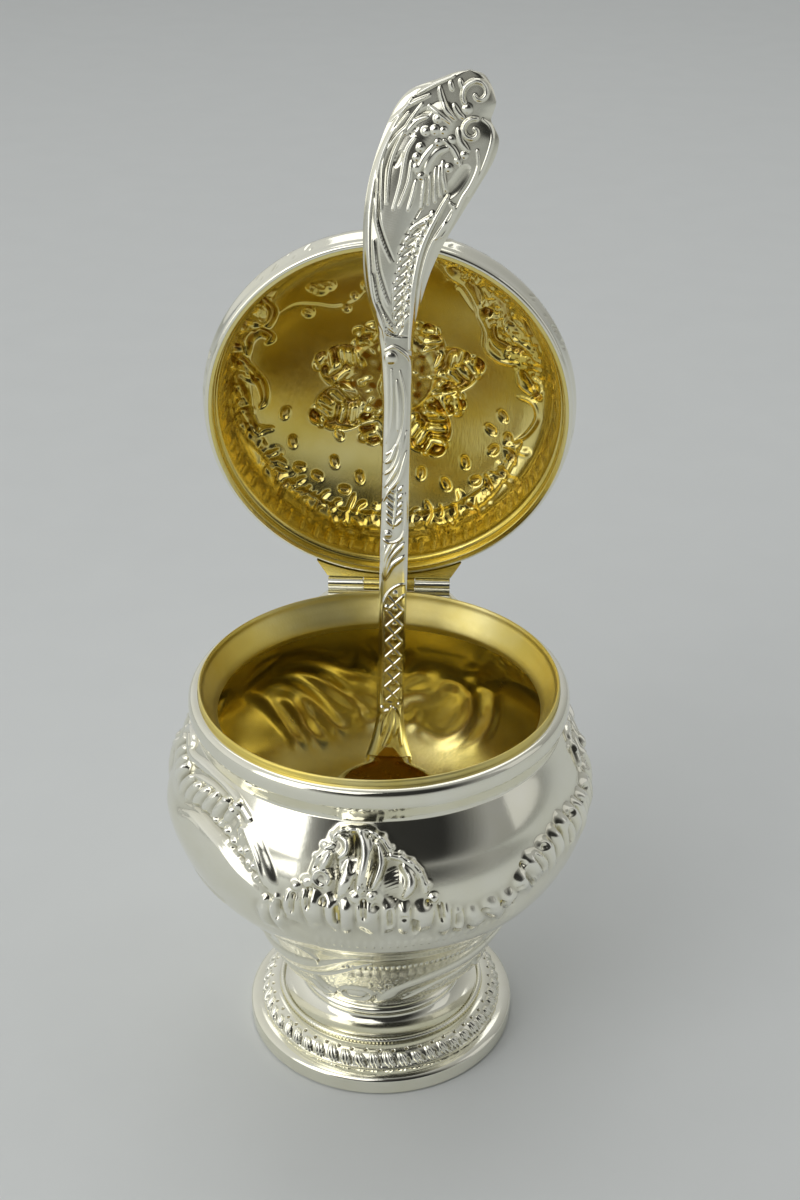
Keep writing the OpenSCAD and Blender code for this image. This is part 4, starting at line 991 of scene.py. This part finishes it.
def lid_edge():
    """The lid's flat gilt rim and its moulded border, chased outside and punched inside."""
    turns = 1300
    a = np.linspace(-math.pi, math.pi, turns, endpoint=False)
    edge, gilt_r = 0.2, BEZEL_R - 0.65
    profile = np.vstack([[(gilt_r, 0), (gilt_r, BEZEL_H), (BEZEL_IN_R, BEZEL_H)],
                         arc((BEZEL_IN_R + edge, edge), edge, edge, 180, 270, 7)])
    bezel = loop_mesh("lid_rim", profile, turns, opened)

    band_h = BORDER_TOP - BEZEL_H
    swell = spline([(gilt_r + 0.02, 0.03), (BEZEL_R - 0.3, 0.06), (BEZEL_R, 0.45),
                    (BEZEL_R + 0.15, BEZEL_H), (BEZEL_R + BORDER_SWELL, 3.2), (BEZEL_R + 0.3, 4.6),
                    (BEZEL_R - 0.15, BORDER_TOP - 1.5 * BORDER_LIP)], 0.16)
    k = np.linspace(0, 1, len(swell))
    band_run = 0.3 + 4.25 * (k - 0.2)
    outer = Relief(-math.pi * BEZEL_R, math.pi * BEZEL_R, 0, 4, 0.1, wraps=True)
    count = 60
    for n in range(count):
        u = 2 * math.pi * BEZEL_R * n / count - math.pi * BEZEL_R
        if math.sin(0.83 * n) > 0.1:
            outer.stroke([(u - 0.5, 1.6 + 0.4 * math.sin(2.3 * n)),
                          (u + 0.6, 2.3 + 0.4 * math.sin(2.3 * n))], 0.4, -0.14)
            outer.stroke([(u + 0.2, 1.2), (u + 0.9, 1.5)], 0.34, -0.1)
        outer.stroke([(u - 0.9, 3.2), (u + 0.9, 3.3)], 0.6, 0.06)
    lift = outer.sample(a[None, :] * BEZEL_R, band_run[:, None])
    lift *= (smooth((k - 0.2) / 0.12) * smooth((1 - k) / 0.12))[:, None]
    side = around(swell[:, 0][:, None] + lift, a[None, :], swell[:, 1][:, None])
    # Painted shade in the chased cuts of the border and painted highlight on its raised marks
    shade = outer.sample(a[None, :] * BEZEL_R, band_run[:, None], painted_relief_shading(outer, 0.6, 1.4))
    seat = DOME_R - DOME_WALL
    middle = np.array([(seat + 0.45, BORDER_TOP), (BEZEL_IN_R + 0.15, BORDER_TOP - 2.2),
                       (BEZEL_IN_R + 0.6, BEZEL_H)])
    top = np.array([(BEZEL_R - 0.3, BORDER_TOP - BORDER_LIP), (BEZEL_R - 0.45, BORDER_TOP - 0.55),
                    (BEZEL_R - 0.9, BORDER_TOP - 0.3), (seat + 1.3, BORDER_TOP)])
    rest = np.vstack([top, middle])
    plain = revolved(rest, a)
    rows_ = np.concatenate([side, plain, side[:1]])
    tone = np.concatenate([shade, plain_tone(plain), shade[:1]])
    outside_ = mesh_of("lid_border_outside", opened(rows_), tone=tone)

    hollow = arc((BEZEL_IN_R, BORDER_TOP - BORDER_LIP), CAVETTO_W, band_h - BORDER_LIP, 180, 270, 34)
    hollow = np.vstack([[(seat, BORDER_TOP)], hollow])
    length = run_of(hollow)
    inner = Relief(-math.pi * seat, math.pi * seat, 0, length[-1], 0.1, wraps=True)
    u = -math.pi * seat
    while u < math.pi * seat:
        size = rng.uniform(0.7, 1.5)
        inner.stroke([(u, 1.5), (u + 0.15, 3.6)], size, -0.3, (0.7, 0.5), 0.5)
        inner.stroke([(u - 0.3, 0.9), (u + 0.5, 1.1)], 0.5, -0.22)
        u += size + rng.uniform(0.7, 1.6)
    dent = inner.sample(a[None, :] * seat, length[:, None]) * smooth(length / 0.8)[:, None]
    dent *= smooth((length[-1] - length) / 0.8)[:, None]
    face = around(hollow[:, 0][:, None] - dent, a[None, :], hollow[:, 1][:, None])
    # Painted highlight in the punched dents of the gilt cavetto, with painted shade just around them
    shade = inner.sample(a[None, :] * seat, length[:, None], painted_relief_shading(inner, 0.8, -1.2))
    core_ = revolved(middle, a)
    rows_ = np.concatenate([core_, face[::-1], core_[:1]])
    tone = np.concatenate([plain_tone(core_), shade[::-1], plain_tone(core_[:1])])
    inside_ = mesh_of("lid_border_gilding", opened(rows_), flip=True, tone=tone)
    cut_notch([bezel, outside_, inside_])
    dress(bezel, "lid", ["lid_bezel"], gilt_plain)
    dress(outside_, "lid", ["lid_border"], silver)
    dress(inside_, "lid", ["lid_border"], gilt)


lid_edge()


# Finial

def finial():
    """A twisted bud on a bed of five leaves."""
    n = 192
    a = np.linspace(0, 2 * np.pi, n, endpoint=False)
    bed = BORDER_TOP + DOME_RISE
    bud_z, lobes, bore = bed + 0.3 + LEAF_T, 6, 0.85
    t = np.linspace(0, 0.985, 90)
    plan = BUD_D / 2 * (0.55 + 0.9 * t - 1.45 * t ** 2.6)
    twist = a[None, :] + math.radians(60) * t[:, None]
    petal = np.abs(np.cos(lobes / 2 * twist))
    r = plan[:, None] * (0.93 + 0.14 * petal ** 0.7 - 0.03 * (1 - petal) ** 6)
    rows_ = around(r, a[None, :], (bud_z + BUD_H * t)[:, None])
    # Painted shade in the grooves between the bud's petals and painted highlight on their crests
    tone = np.clip(0.15 + 0.6 * petal, 0, 1)
    ends = opened(np.array([[0, 0, bud_z], [0, 0, bud_z + BUD_H]]))
    dress(mesh_of("finial_bud_petals", opened(rows_), *ends, tone=tone), "lid", ["finial_bud"],
          silver)

    lobe_r, tip_r = LEAF_REACH * 0.4, LEAF_REACH * 0.6
    leaf = np.abs((a / (2 * np.pi) * 5 + 0.5) % 1 - 0.5) * 2 * math.pi / 5
    aside = tip_r * np.sin(leaf)
    round_tip = tip_r * np.cos(leaf) + np.sqrt(np.maximum(lobe_r ** 2 - aside ** 2, 0))
    reach = np.maximum(np.where(aside < lobe_r, round_tip, 0), LEAF_REACH * 0.62)
    t = np.linspace(0, 1, 40)[:, None]
    r = bore + (reach[None, :] - bore) * t
    ground = BORDER_TOP + DOME_RISE * np.sqrt(1 - (r / DOME_R) ** 2)
    across = np.sin(leaf)[None, :] * r / lobe_r
    veins = 0.12 * np.cos(9 * across + 5 * t) * smooth((t - 0.3) / 0.2)
    veins -= 0.3 * np.exp(-(across / 0.12) ** 2) * smooth((t - 0.25) / 0.2)
    rise = LEAF_T * np.sqrt(np.clip(1 - t ** 6, 0, 1)) * (1 - 0.35 * t)
    top = ground + 0.3 + rise + veins * (1 - t ** 8)
    upper = around(r, a[None, :], np.minimum(top, bud_z + 0.02))
    under = around(r[::-2], a[None, :], ground[::-2] - 0.05)
    rows_ = np.concatenate([under, upper, under[:1]])
    # Painted shade along each leaf's middle vein and in the vein grooves, painted highlight on their
    # ridges
    tone = np.concatenate([plain_tone(under), np.clip(FLAT_TONE + 1.5 * veins, 0, 1),
                           plain_tone(under[:1])])
    dress(mesh_of("finial_leaf_bed", opened(rows_), flip=True, tone=tone), "lid", ["finial_leaves"],
          silver)


finial()


# Spoon, described standing on its tip, with its hollow side to the front

def feather(sheet):
    """Long lines sweep in from the left edge over a gently swelling vane; short barbs lean up to
    the right ridge."""
    s = sheet.stroke
    s([(-2.2, 68), (-2.4, 74), (-1.6, 80), (0.0, 86.5), (2.2, 92), (5.2, 97)], 7.0, 0.9, (0.5, 0.6), 1.2)
    sheet.settle()
    vein = np.array([(-0.4, 66.6), (-0.6, 68.1), (-0.9, 69.8), (-0.95, 73.2), (-0.5, 75.5),
                     (-0.15, 78.7), (1.1, 81.7), (2.6, 84.4)])
    ridge = np.array([(1.7, 64.6), (1.8, 71.0), (2.1, 75.0), (3.1, 79.4), (5.2, 84.1), (6.4, 86.4)])
    for points in ([(-3.9, 86.4), (-3.6, 82.9), (-2.7, 80.0), (-1.4, 77.1)],
                   [(-3.9, 80.0), (-3.4, 76.2), (-2.6, 73.5), (-1.6, 70.9)],
                   [(-4.0, 75.4), (-3.2, 71.5), (-1.95, 69.1), (-0.5, 67.2)],
                   [(-3.6, 71.0), (-2.6, 68.1), (-1.2, 66.6), (0.7, 66.3)]):
        s(points, 0.5, 0.34, (0.5, 0.3))
        s([(x + 0.5, y + 0.1) for x, y in points], 0.4, -0.22, (0.5, 0.3))
    s(vein, 0.55, -0.35, (0.4, 0.6))
    for y in np.arange(67.4, 82.6, 1.42):
        root = (np.interp(y, vein[:, 1], vein[:, 0]) + 0.35, y)
        tip = (np.interp(y + 2.0, ridge[:, 1], ridge[:, 0]) - 0.55, y + 2.0)
        s([root, tip], 0.85, 0.42, (0.6, 0.8), 0.6)
        s([(root[0] + 0.05, root[1] - 0.72), (0.5 * (root[0] + tip[0]), 0.5 * (root[1] + tip[1]) - 0.7)],
          0.5, -0.3, (0.8, 0.3))
    s(ridge, 0.95, 0.62, (0.6, 0.5))
    s([(2.5, 66.0), (2.65, 71.0), (3.0, 75.0), (4.1, 79.2), (6.2, 83.0), (7.4, 85.2)], 0.5, 0.36)
    s([(-1.9, 65.4), (-2.5, 68.6), (-3.9, 72.0), (-4.6, 77.0), (-4.75, 82.0), (-4.3, 86.6), (-3.7, 89.8),
       (-2.3, 93.6), (-1.0, 96.3), (1.0, 99.4)],
      0.95, 0.55)
    sheet.settle()
    sheet.beads([(0.5, 69.8), (1.1, 71.4), (1.3, 75.0), (2.2, 80.0), (4.3, 84.0)], 0.36, 0.22, 0.85)


def scrolled_end(sheet):
    """The end of the handle: flutes that open like a shell, bead clusters and two scrolls on the
    right edge."""
    s = sheet.stroke
    s([(6.4, 86.6), (7.6, 88.2), (8.7, 90.0)], 2.0, -0.35, (0.7, 0.7), 0.8)
    for x, y, turn in ((1.3, 95.3, 55), (-0.6, 91.2, 65), (3.3, 97.8, 20)):
        d = np.array([math.cos(math.radians(turn)), math.sin(math.radians(turn))])
        s([(x, y) - d, (x, y) + d], 1.0, -0.3, (0.5, 0.5), 0.8)
    for points, width in (
            ([(-3.5, 83.0), (-3.3, 90.0), (-1.9, 94.0), (0.6, 97.4)], 0.5),
            ([(-0.4, 84.8), (0.9, 88.2), (1.2, 91.0)], 0.5),
            ([(-1.9, 96.2), (0.6, 98.4), (3.4, 99.8)], 0.5),
            ([(3.6, 85.2), (3.8, 87.6), (3.8, 89.4)], 0.55),
            ([(5.3, 86.4), (5.1, 88.6), (5.1, 90.4)], 0.55),
            ([(2.0, 89.6), (2.9, 91.4), (4.2, 93.2)], 0.8),
            ([(3.4, 98.4), (4.8, 97.4), (6.4, 96.2)], 0.6),
            ([(0.2, 94.6), (1.8, 96.4), (3.2, 97.0)], 0.7),
            ([(6.8, 98.6), (7.4, 97.6), (8.2, 96.9)], 0.7),
            ([(5.6, 93.9), (7.0, 92.6), (8.0, 90.6)], 0.7),
            ([(-2.9, 84.2), (-2.75, 90.7), (-1.3, 93.8), (1.5, 96.6)], 0.55),
            ([(-2.1, 85.2), (-1.7, 90.7), (0.4, 95.6), (2.4, 98.6)], 0.5),
            ([(-1.2, 84.4), (-0.2, 88.0), (0.5, 92.2), (1.6, 94.2)], 0.5),
            ([(0.9, 84.4), (1.5, 86.4), (1.9, 88.4)], 0.6),
            ([(2.7, 84.6), (3.0, 87.7), (3.0, 88.8)], 0.6),
            ([(4.6, 85.6), (4.5, 88.0), (4.6, 90.2)], 0.6),
            ([(6.0, 87.2), (5.6, 89.2), (5.5, 91.0)], 0.6),
            ([(3.3, 89.4), (3.6, 90.8), (4.6, 92.2), (6.2, 93.0)], 1.1),
            ([(4.8, 100.8), (5.1, 99.6), (5.8, 98.0), (7.0, 96.8)], 0.75),
            ([(6.2, 101.6), (6.5, 100.6)], 0.6), ([(7.5, 101.9), (7.9, 100.9)], 0.6),
            ([(4.9, 80.4), (5.9, 81.9), (6.9, 83.2), (7.3, 84.6), (6.7, 85.4)], 0.7),
            ([(5.7, 80.6), (6.6, 82.0), (7.8, 84.6), (8.5, 86.2), (9.6, 88.0), (10.4, 90.4),
              (10.2, 92.6)], 0.65),
            ([(9.2, 86.4), (10.6, 89.0), (11.6, 91.6), (12.2, 94.2), (11.9, 95.8), (10.8, 96.8)], 0.6),
            ([(1.8, 100.0), (4.4, 101.5), (6.6, 102.4)], 0.6),
            ([(7.5, 95.4), (7.9, 93.8), (8.9, 92.6)], 0.9)):
        s(points, width, 0.45, (0.6, 0.5))
    s(volute((10.0, 100.2), 2.2, 215, -1.0), 0.75, 0.6, (0.8, 0.6))
    s(volute((9.5, 95.2), 1.7, 75, 0.95), 0.7, 0.55, (0.8, 0.6))
    for x, y, r in ((3.0, 95.1, 0.5), (4.3, 95.3, 0.55), (5.5, 95.2, 0.45), (4.6, 96.8, 0.5),
                    (2.4, 92.9, 0.5), (1.9, 91.6, 0.45), (1.9, 90.2, 0.5), (2.6, 89.0, 0.45),
                    (6.6, 94.0, 0.5), (4.8, 93.6, 0.45), (7.6, 91.3, 0.45), (8.4, 92.0, 0.45),
                    (6.3, 90.2, 0.5), (8.6, 98.2, 0.6)):
        sheet.bead((x, y), r * 1.2, 0.42, 0.9)


def spoon_sheet():
    """The handle's ornament: x to the right of its axis, and height above the spoon's bowl."""
    sheet = Relief(-6, 14, -2, HANDLE_LEN + 1, 0.05)
    s = sheet.stroke
    for points in ([(0.2, 8.6), (-0.6, 6.6), (-1.2, 3.6)], [(-0.2, 8.0), (-1.2, 7.4), (-1.7, 5.8)],
                   [(0.6, 8.4), (0.4, 5.6), (-0.2, 2.2)], [(0.9, 8.2), (1.2, 5.8), (0.8, 3.4)],
                   [(1.2, 7.6), (1.7, 5.0), (1.9, 1.8)], [(0.2, 4.6), (-0.4, 2.6), (-1.0, 1.6)]):
        s(points, 0.75, 0.42, (0.5, 0.3))
    sheet.bead((-1.3, 8.2), 0.5, 0.45)
    sheet.bead((1.5, 8.9), 0.45, 0.4)
    pitch, x0, x1 = 2.5, -0.85, 1.65
    for k in range(8):
        y = 9.4 + pitch * k
        if y + pitch < 28.2:
            s([(x0, y), (x1, y + pitch)], 0.34, 0.26, (1, 1))
            s([(x1, y), (x0, y + pitch)], 0.34, 0.26, (1, 1))
            s([(0.4, y + pitch * 0.75), (0.4, y + pitch * 1.25)], 0.8, 0.2, (0.4, 0.4))
    s([(2.0, 28.6), (0.9, 28.6), (-0.6, 27.4), (-1.4, 25.2), (-1.35, 22), (-1.25, 16), (-1.25, 11.4),
       (-0.7, 9.6), (0.3, 9.2)], 0.55, 0.42)
    s([(1.85, 27), (1.85, 18), (1.8, 10)], 0.4, 0.3)
    sheet.bead((-0.85, 25.0), 0.38, 0.35)
    sheet.fan((-1.2, 29.4), [(1.6, 35.2), (1.7, 33.2), (0.7, 35.6), (-0.3, 35.2), (-1.3, 34.6)], 0.12,
              0.75, 0.4)
    sheet.bead((-0.95, 36.6), 0.62, 0.5)
    s([(-1.7, 35.8), (-0.6, 35.3), (0.7, 35.7), (1.5, 37.0), (1.7, 39.6), (1.6, 43)], 0.5, 0.42)
    s([(-0.2, 37.6), (0.1, 40.2), (0.3, 44.4)], 0.5, 0.4)
    for k in range(5):
        y = 38.0 + 1.25 * k
        s([(0.1, y), (1.1, y + 1.1)], 0.5, 0.34)
        s([(-0.2, y), (-1.2, y + 0.9)], 0.5, 0.3)
    for points in ([(-1.8, 41.6), (-1.0, 43.2), (0.5, 45.4), (1.6, 49.4)],
                   [(-1.7, 43.8), (-0.6, 45.4), (0.6, 48.0), (1.5, 52.4)],
                   [(-1.7, 45.8), (-0.4, 47.0), (0.5, 49.6), (1.2, 54.0)],
                   [(-1.7, 47.6), (-0.8, 48.2), (0.0, 50.4)]):
        s(points, 0.7, 0.42)
    s([(-1.5, 48.8), (0.0, 50.2), (1.0, 53.4), (1.1, 57.6), (0.3, 61.4)], 0.45, 0.36)
    s([(-1.5, 50.6), (-0.9, 53.0), (-0.7, 57.0), (-0.9, 61.6)], 0.4, 0.34)
    s([(0.2, 52.6), (0.3, 56.0), (-0.1, 60.0)], 0.7, 0.3)
    sheet.bead((-1.1, 63.3), 0.95, 0.55)
    s([(-2.0, 64.2), (-0.8, 64.9), (0.4, 64.4), (1.5, 63.4), (2.0, 62.0), (2.0, 59.6)], 0.55, 0.42)
    feather(sheet)
    scrolled_end(sheet)
    sheet.h = STRIKE * sheet.blurred(0.06)
    return sheet


def spoon():
    tilt = np.array(Matrix.Rotation(math.radians(-SPOON_LEAN), 3, "X")
                    @ Matrix.Rotation(math.radians(SPOON_SIDE_LEAN), 3, "Y"))
    co = (np.array([v.co for v in frame["nodes"]["spoon"].data.vertices]) / MM - SPOON_TIP) @ tilt
    height = co[:, 2].round(1)
    stations = np.unique(height)
    sides = [spline([(h, pick(co[height == h, 0])) for h in stations], 0.2) for pick in (np.min, np.max)]
    sheet = spoon_sheet()
    low_rows, rows = ((90, 1300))
    low_s = SCOOP_LEN * (1 - np.cos(np.linspace(0.12, math.pi, low_rows))) / 2
    s = np.r_[low_s, np.linspace(SCOOP_LEN, stations[-1], rows)[1:]]
    left, right = (np.interp(s, side[:, 0], side[:, 1])[:, None] for side in sides)
    shoulder, shoulder_at, shoulder_len = 0.22, 24.0, 3.0
    broad = (1 + shoulder * np.exp(-((s - shoulder_at) / shoulder_len) ** 2))[:, None]
    left, right = left * broad, right * broad
    hollow = SCOOP_DEPTH * np.sin(np.pi * np.clip(s / SCOOP_LEN, 0, 1)) ** 0.7
    depth = np.where(s < SCOOP_LEN, hollow, 0)[:, None]
    to_handle = np.clip((s - 0.8 * SCOOP_LEN) / (0.4 * SCOOP_LEN), 0, 1)
    thick = (SCOOP_T + (HANDLE_T - SCOOP_T) * to_handle)[:, None]
    bend = np.linspace(-1, 1, 220) * math.pi / 2 * 0.96
    v = np.sin(bend)[None, :] / math.sin(math.pi / 2 * 0.96)
    x = left + (right - left) * (v + 1) / 2
    lift = sheet.sample(x, s[:, None] - SCOOP_LEN) * (1 - np.abs(v) ** 8)
    lift *= smooth((s[:, None] - SCOOP_LEN - 0.5) / 1.2)

    def half_thick(across, full):
        """Half the thickness, which thins towards both edges."""
        return full / 2 * (1 - 0.85 * np.abs(across) ** 6)

    def forged(name, rows_, tone, top):
        """A mesh of rows, closed at both ends and leaned into place."""
        ends = [rows_[0].mean(0) - (0, 0, 0.02), rows_[-1].mean(0) + (0, 0, top)]
        return mesh_of(name, SPOON_TIP + rows_ @ tilt.T, *[SPOON_TIP + tilt @ e for e in ends],
                       tone=tone)

    section = half_thick(v, thick)
    bow = depth * (1 - v ** 2)
    front = np.stack([x, bow - section - lift, np.broadcast_to(s[:, None], x.shape)], -1)
    # Painted shade in the hollows of the handle's ornament and painted highlight on what is struck up
    shade = sheet.sample(x, s[:, None] - SCOOP_LEN, painted_relief_shading(sheet, 0.5, 1.7))
    shade = np.where(s[:, None] > SCOOP_LEN, shade, SPOON_TONE)
    rear = np.stack([x, bow + section, np.broadcast_to(s[:, None], x.shape)], -1)[:, ::-4]
    rows_ = np.concatenate([front, rear], 1)
    tone = np.concatenate([shade, np.full(rear.shape[:2], SPOON_TONE)], 1)
    whole = forged("spoon_body", rows_, tone, 0.05)
    dress(whole, "spoon", ["spoon"], silver_spoon)

    wet = np.flatnonzero((s > 1.2) & (s < SCOOP_LEN + 1.6))
    reach = (0.86 * np.sqrt(np.clip((SCOOP_LEN + 1.8 - s[wet]) / 5, 0.02, 1)))[:, None]
    k = np.linspace(-1, 1, 41)[None, :] * reach
    x = (left + right)[wet] / 2 + (right - left)[wet] / 2 * k
    y = depth[wet] * (1 - k ** 2) - half_thick(k, thick[wet]) - 0.05
    face = np.stack([x, y, np.broadcast_to(s[wet][:, None], x.shape)], -1)
    rows_ = np.concatenate([face, (face + (0, 0.2, 0))[:, ::-3]], 1)
    # The gilt inside of the spoon's bowl is given painted shade all over, darker than plain gilt
    tone = np.full(rows_.shape[:2], SCOOP_PAINTED_SHADE)
    lining_ = forged("spoon_gilding", rows_, tone, 0.02)
    dress(lining_, "spoon", ["spoon"], gilt)


spoon()


# Other CAD nodes keep their shape and get a finish

def finish_nodes(names, mat, edge):
    for name in names:
        obj = frame["nodes"][name]
        obj.data.materials.clear()
        obj.data.materials.append(mat)
        bevel = obj.modifiers.new("edge", "BEVEL")
        bevel.width = edge * MM
        bevel.segments = 2
        bevel.limit_method = "ANGLE"
        bevel.angle_limit = math.radians(50)


finish_nodes(["hinge_leaf_lid", "hinge_knuckle_centre", "finial_nut"], gilt_plain, 0.12)
finish_nodes(["hinge_leaf_body", "hinge_knuckle_left", "hinge_knuckle_right", "hinge_pin",
              "finial_stud"], silver_plain, 0.1)


# Camera, floor and light

def aim(obj, target):
    obj.rotation_mode = "QUATERNION"
    obj.rotation_quaternion = (Vector(target) - obj.location).to_track_quat("-Z", "Y")


CAMERA_AT = np.array([12.76, -219.38, 195.55])
CAMERA_HEADING, CAMERA_PITCH = 2.54, 29.04
CAMERA_LENS = 53.64
camera = bpy.data.objects.new("camera", bpy.data.cameras.new("camera"))
bpy.context.scene.collection.objects.link(camera)
camera.data.lens, camera.data.sensor_width = CAMERA_LENS, 36
camera.location = CAMERA_AT * MM
camera.rotation_euler = (math.radians(90 - CAMERA_PITCH), 0, math.radians(CAMERA_HEADING))
camera.data.clip_start, camera.data.clip_end = 0.01, 50
bpy.context.scene.camera = camera


# Place, size and power of each soft lamp, in metres and watts, and the height they are aimed at
LAMPS = (("key", (-0.76, -0.57, 0.46), (0.6, 0.8), 1.5), ("side", (0.85, 0.0, 0.40), (0.45, 0.7), 0.3),
         ("upper", (-0.38, -0.59, 0.77), (0.8, 0.6), 2.0), ("top", (0.0, 0.45, 0.90), (0.8, 0.6), 1.2))
LAMP_AIM = 0.06
# The tent: the way to its dark opening, its grey by the cosine from there, and its strength from
# left to right
OPENING = (0.16, -0.90, 0.40)
TENT_GREYS = ((0.0, 0.68), (0.60, 0.62), (0.77, 0.20), (0.88, 0.04))
TENT_STRENGTH = (1.1, 0.42)
HORIZON, BACKDROP = (0.60, 0.61, 0.60), (0.68, 0.69, 0.67)
FLOOR_R, FLOOR_DROP = 5, 0.0002
PAPER = ((0.70, 0.72, 0.72), (0.73, 0.75, 0.75))


def lay_floor():
    bpy.ops.mesh.primitive_circle_add(vertices=96, radius=FLOOR_R, fill_type="NGON",
                                      location=(0, 0, -FLOOR_DROP))
    floor = bpy.context.object
    floor.name = "floor"
    mat, tree, shader = material("floor_paper")
    shader.inputs["Roughness"].default_value = 0.85
    paper = mixed(tree, noise(tree, node(tree, "TexCoord", "Object"), 60), *PAPER)
    tree.links.new(paper, shader.inputs["Base Color"])
    floor.data.materials.append(mat)


def lamps():
    for name, at, size, power in LAMPS:
        lamp = bpy.data.objects.new(name, bpy.data.lights.new(name, "AREA"))
        bpy.context.scene.collection.objects.link(lamp)
        lamp.data.shape, lamp.data.energy = "RECTANGLE", power
        lamp.data.size, lamp.data.size_y = size
        lamp.location = at
        aim(lamp, (0, 0, LAMP_AIM))


def studio():
    """A pale tent that is darker where the camera looks in from. The camera itself sees its pale
    tone all round."""
    world = bpy.data.worlds.new("studio")
    bpy.context.scene.world = world
    world.use_nodes = True
    tree = world.node_tree
    way = node(tree, "TexCoord", "Generated")
    front = node(tree, "VectorMath", "Value", {0: way, 1: OPENING}, operation="DOT_PRODUCT")
    tent = node(tree, "ValToRGB", "Color", {"Fac": front})
    stops = tent.node.color_ramp.elements
    for place, grey in TENT_GREYS:
        stops.new(place).color = (grey, grey * 1.01, grey * 0.99, 1)
    stops.remove(stops[-1])
    stops.remove(stops[0])
    split = node(tree, "SeparateXYZ", "X", {"Vector": way})
    strength = ranged(tree, split, -1, 1, TENT_STRENGTH)
    near_floor = ranged(tree, split.node.outputs["Z"], 0.02, 0.14, (0.8, 0))
    tent = mixed(tree, near_floor, tent, HORIZON)
    seen = mixed(tree, node(tree, "LightPath", "Is Camera Ray"), tent, BACKDROP)
    for socket, value in (("Color", seen), ("Strength", strength)):
        tree.links.new(value, tree.nodes["Background"].inputs[socket])


lay_floor()
studio()
lamps()
bpy.context.scene.view_settings.view_transform = "Standard"
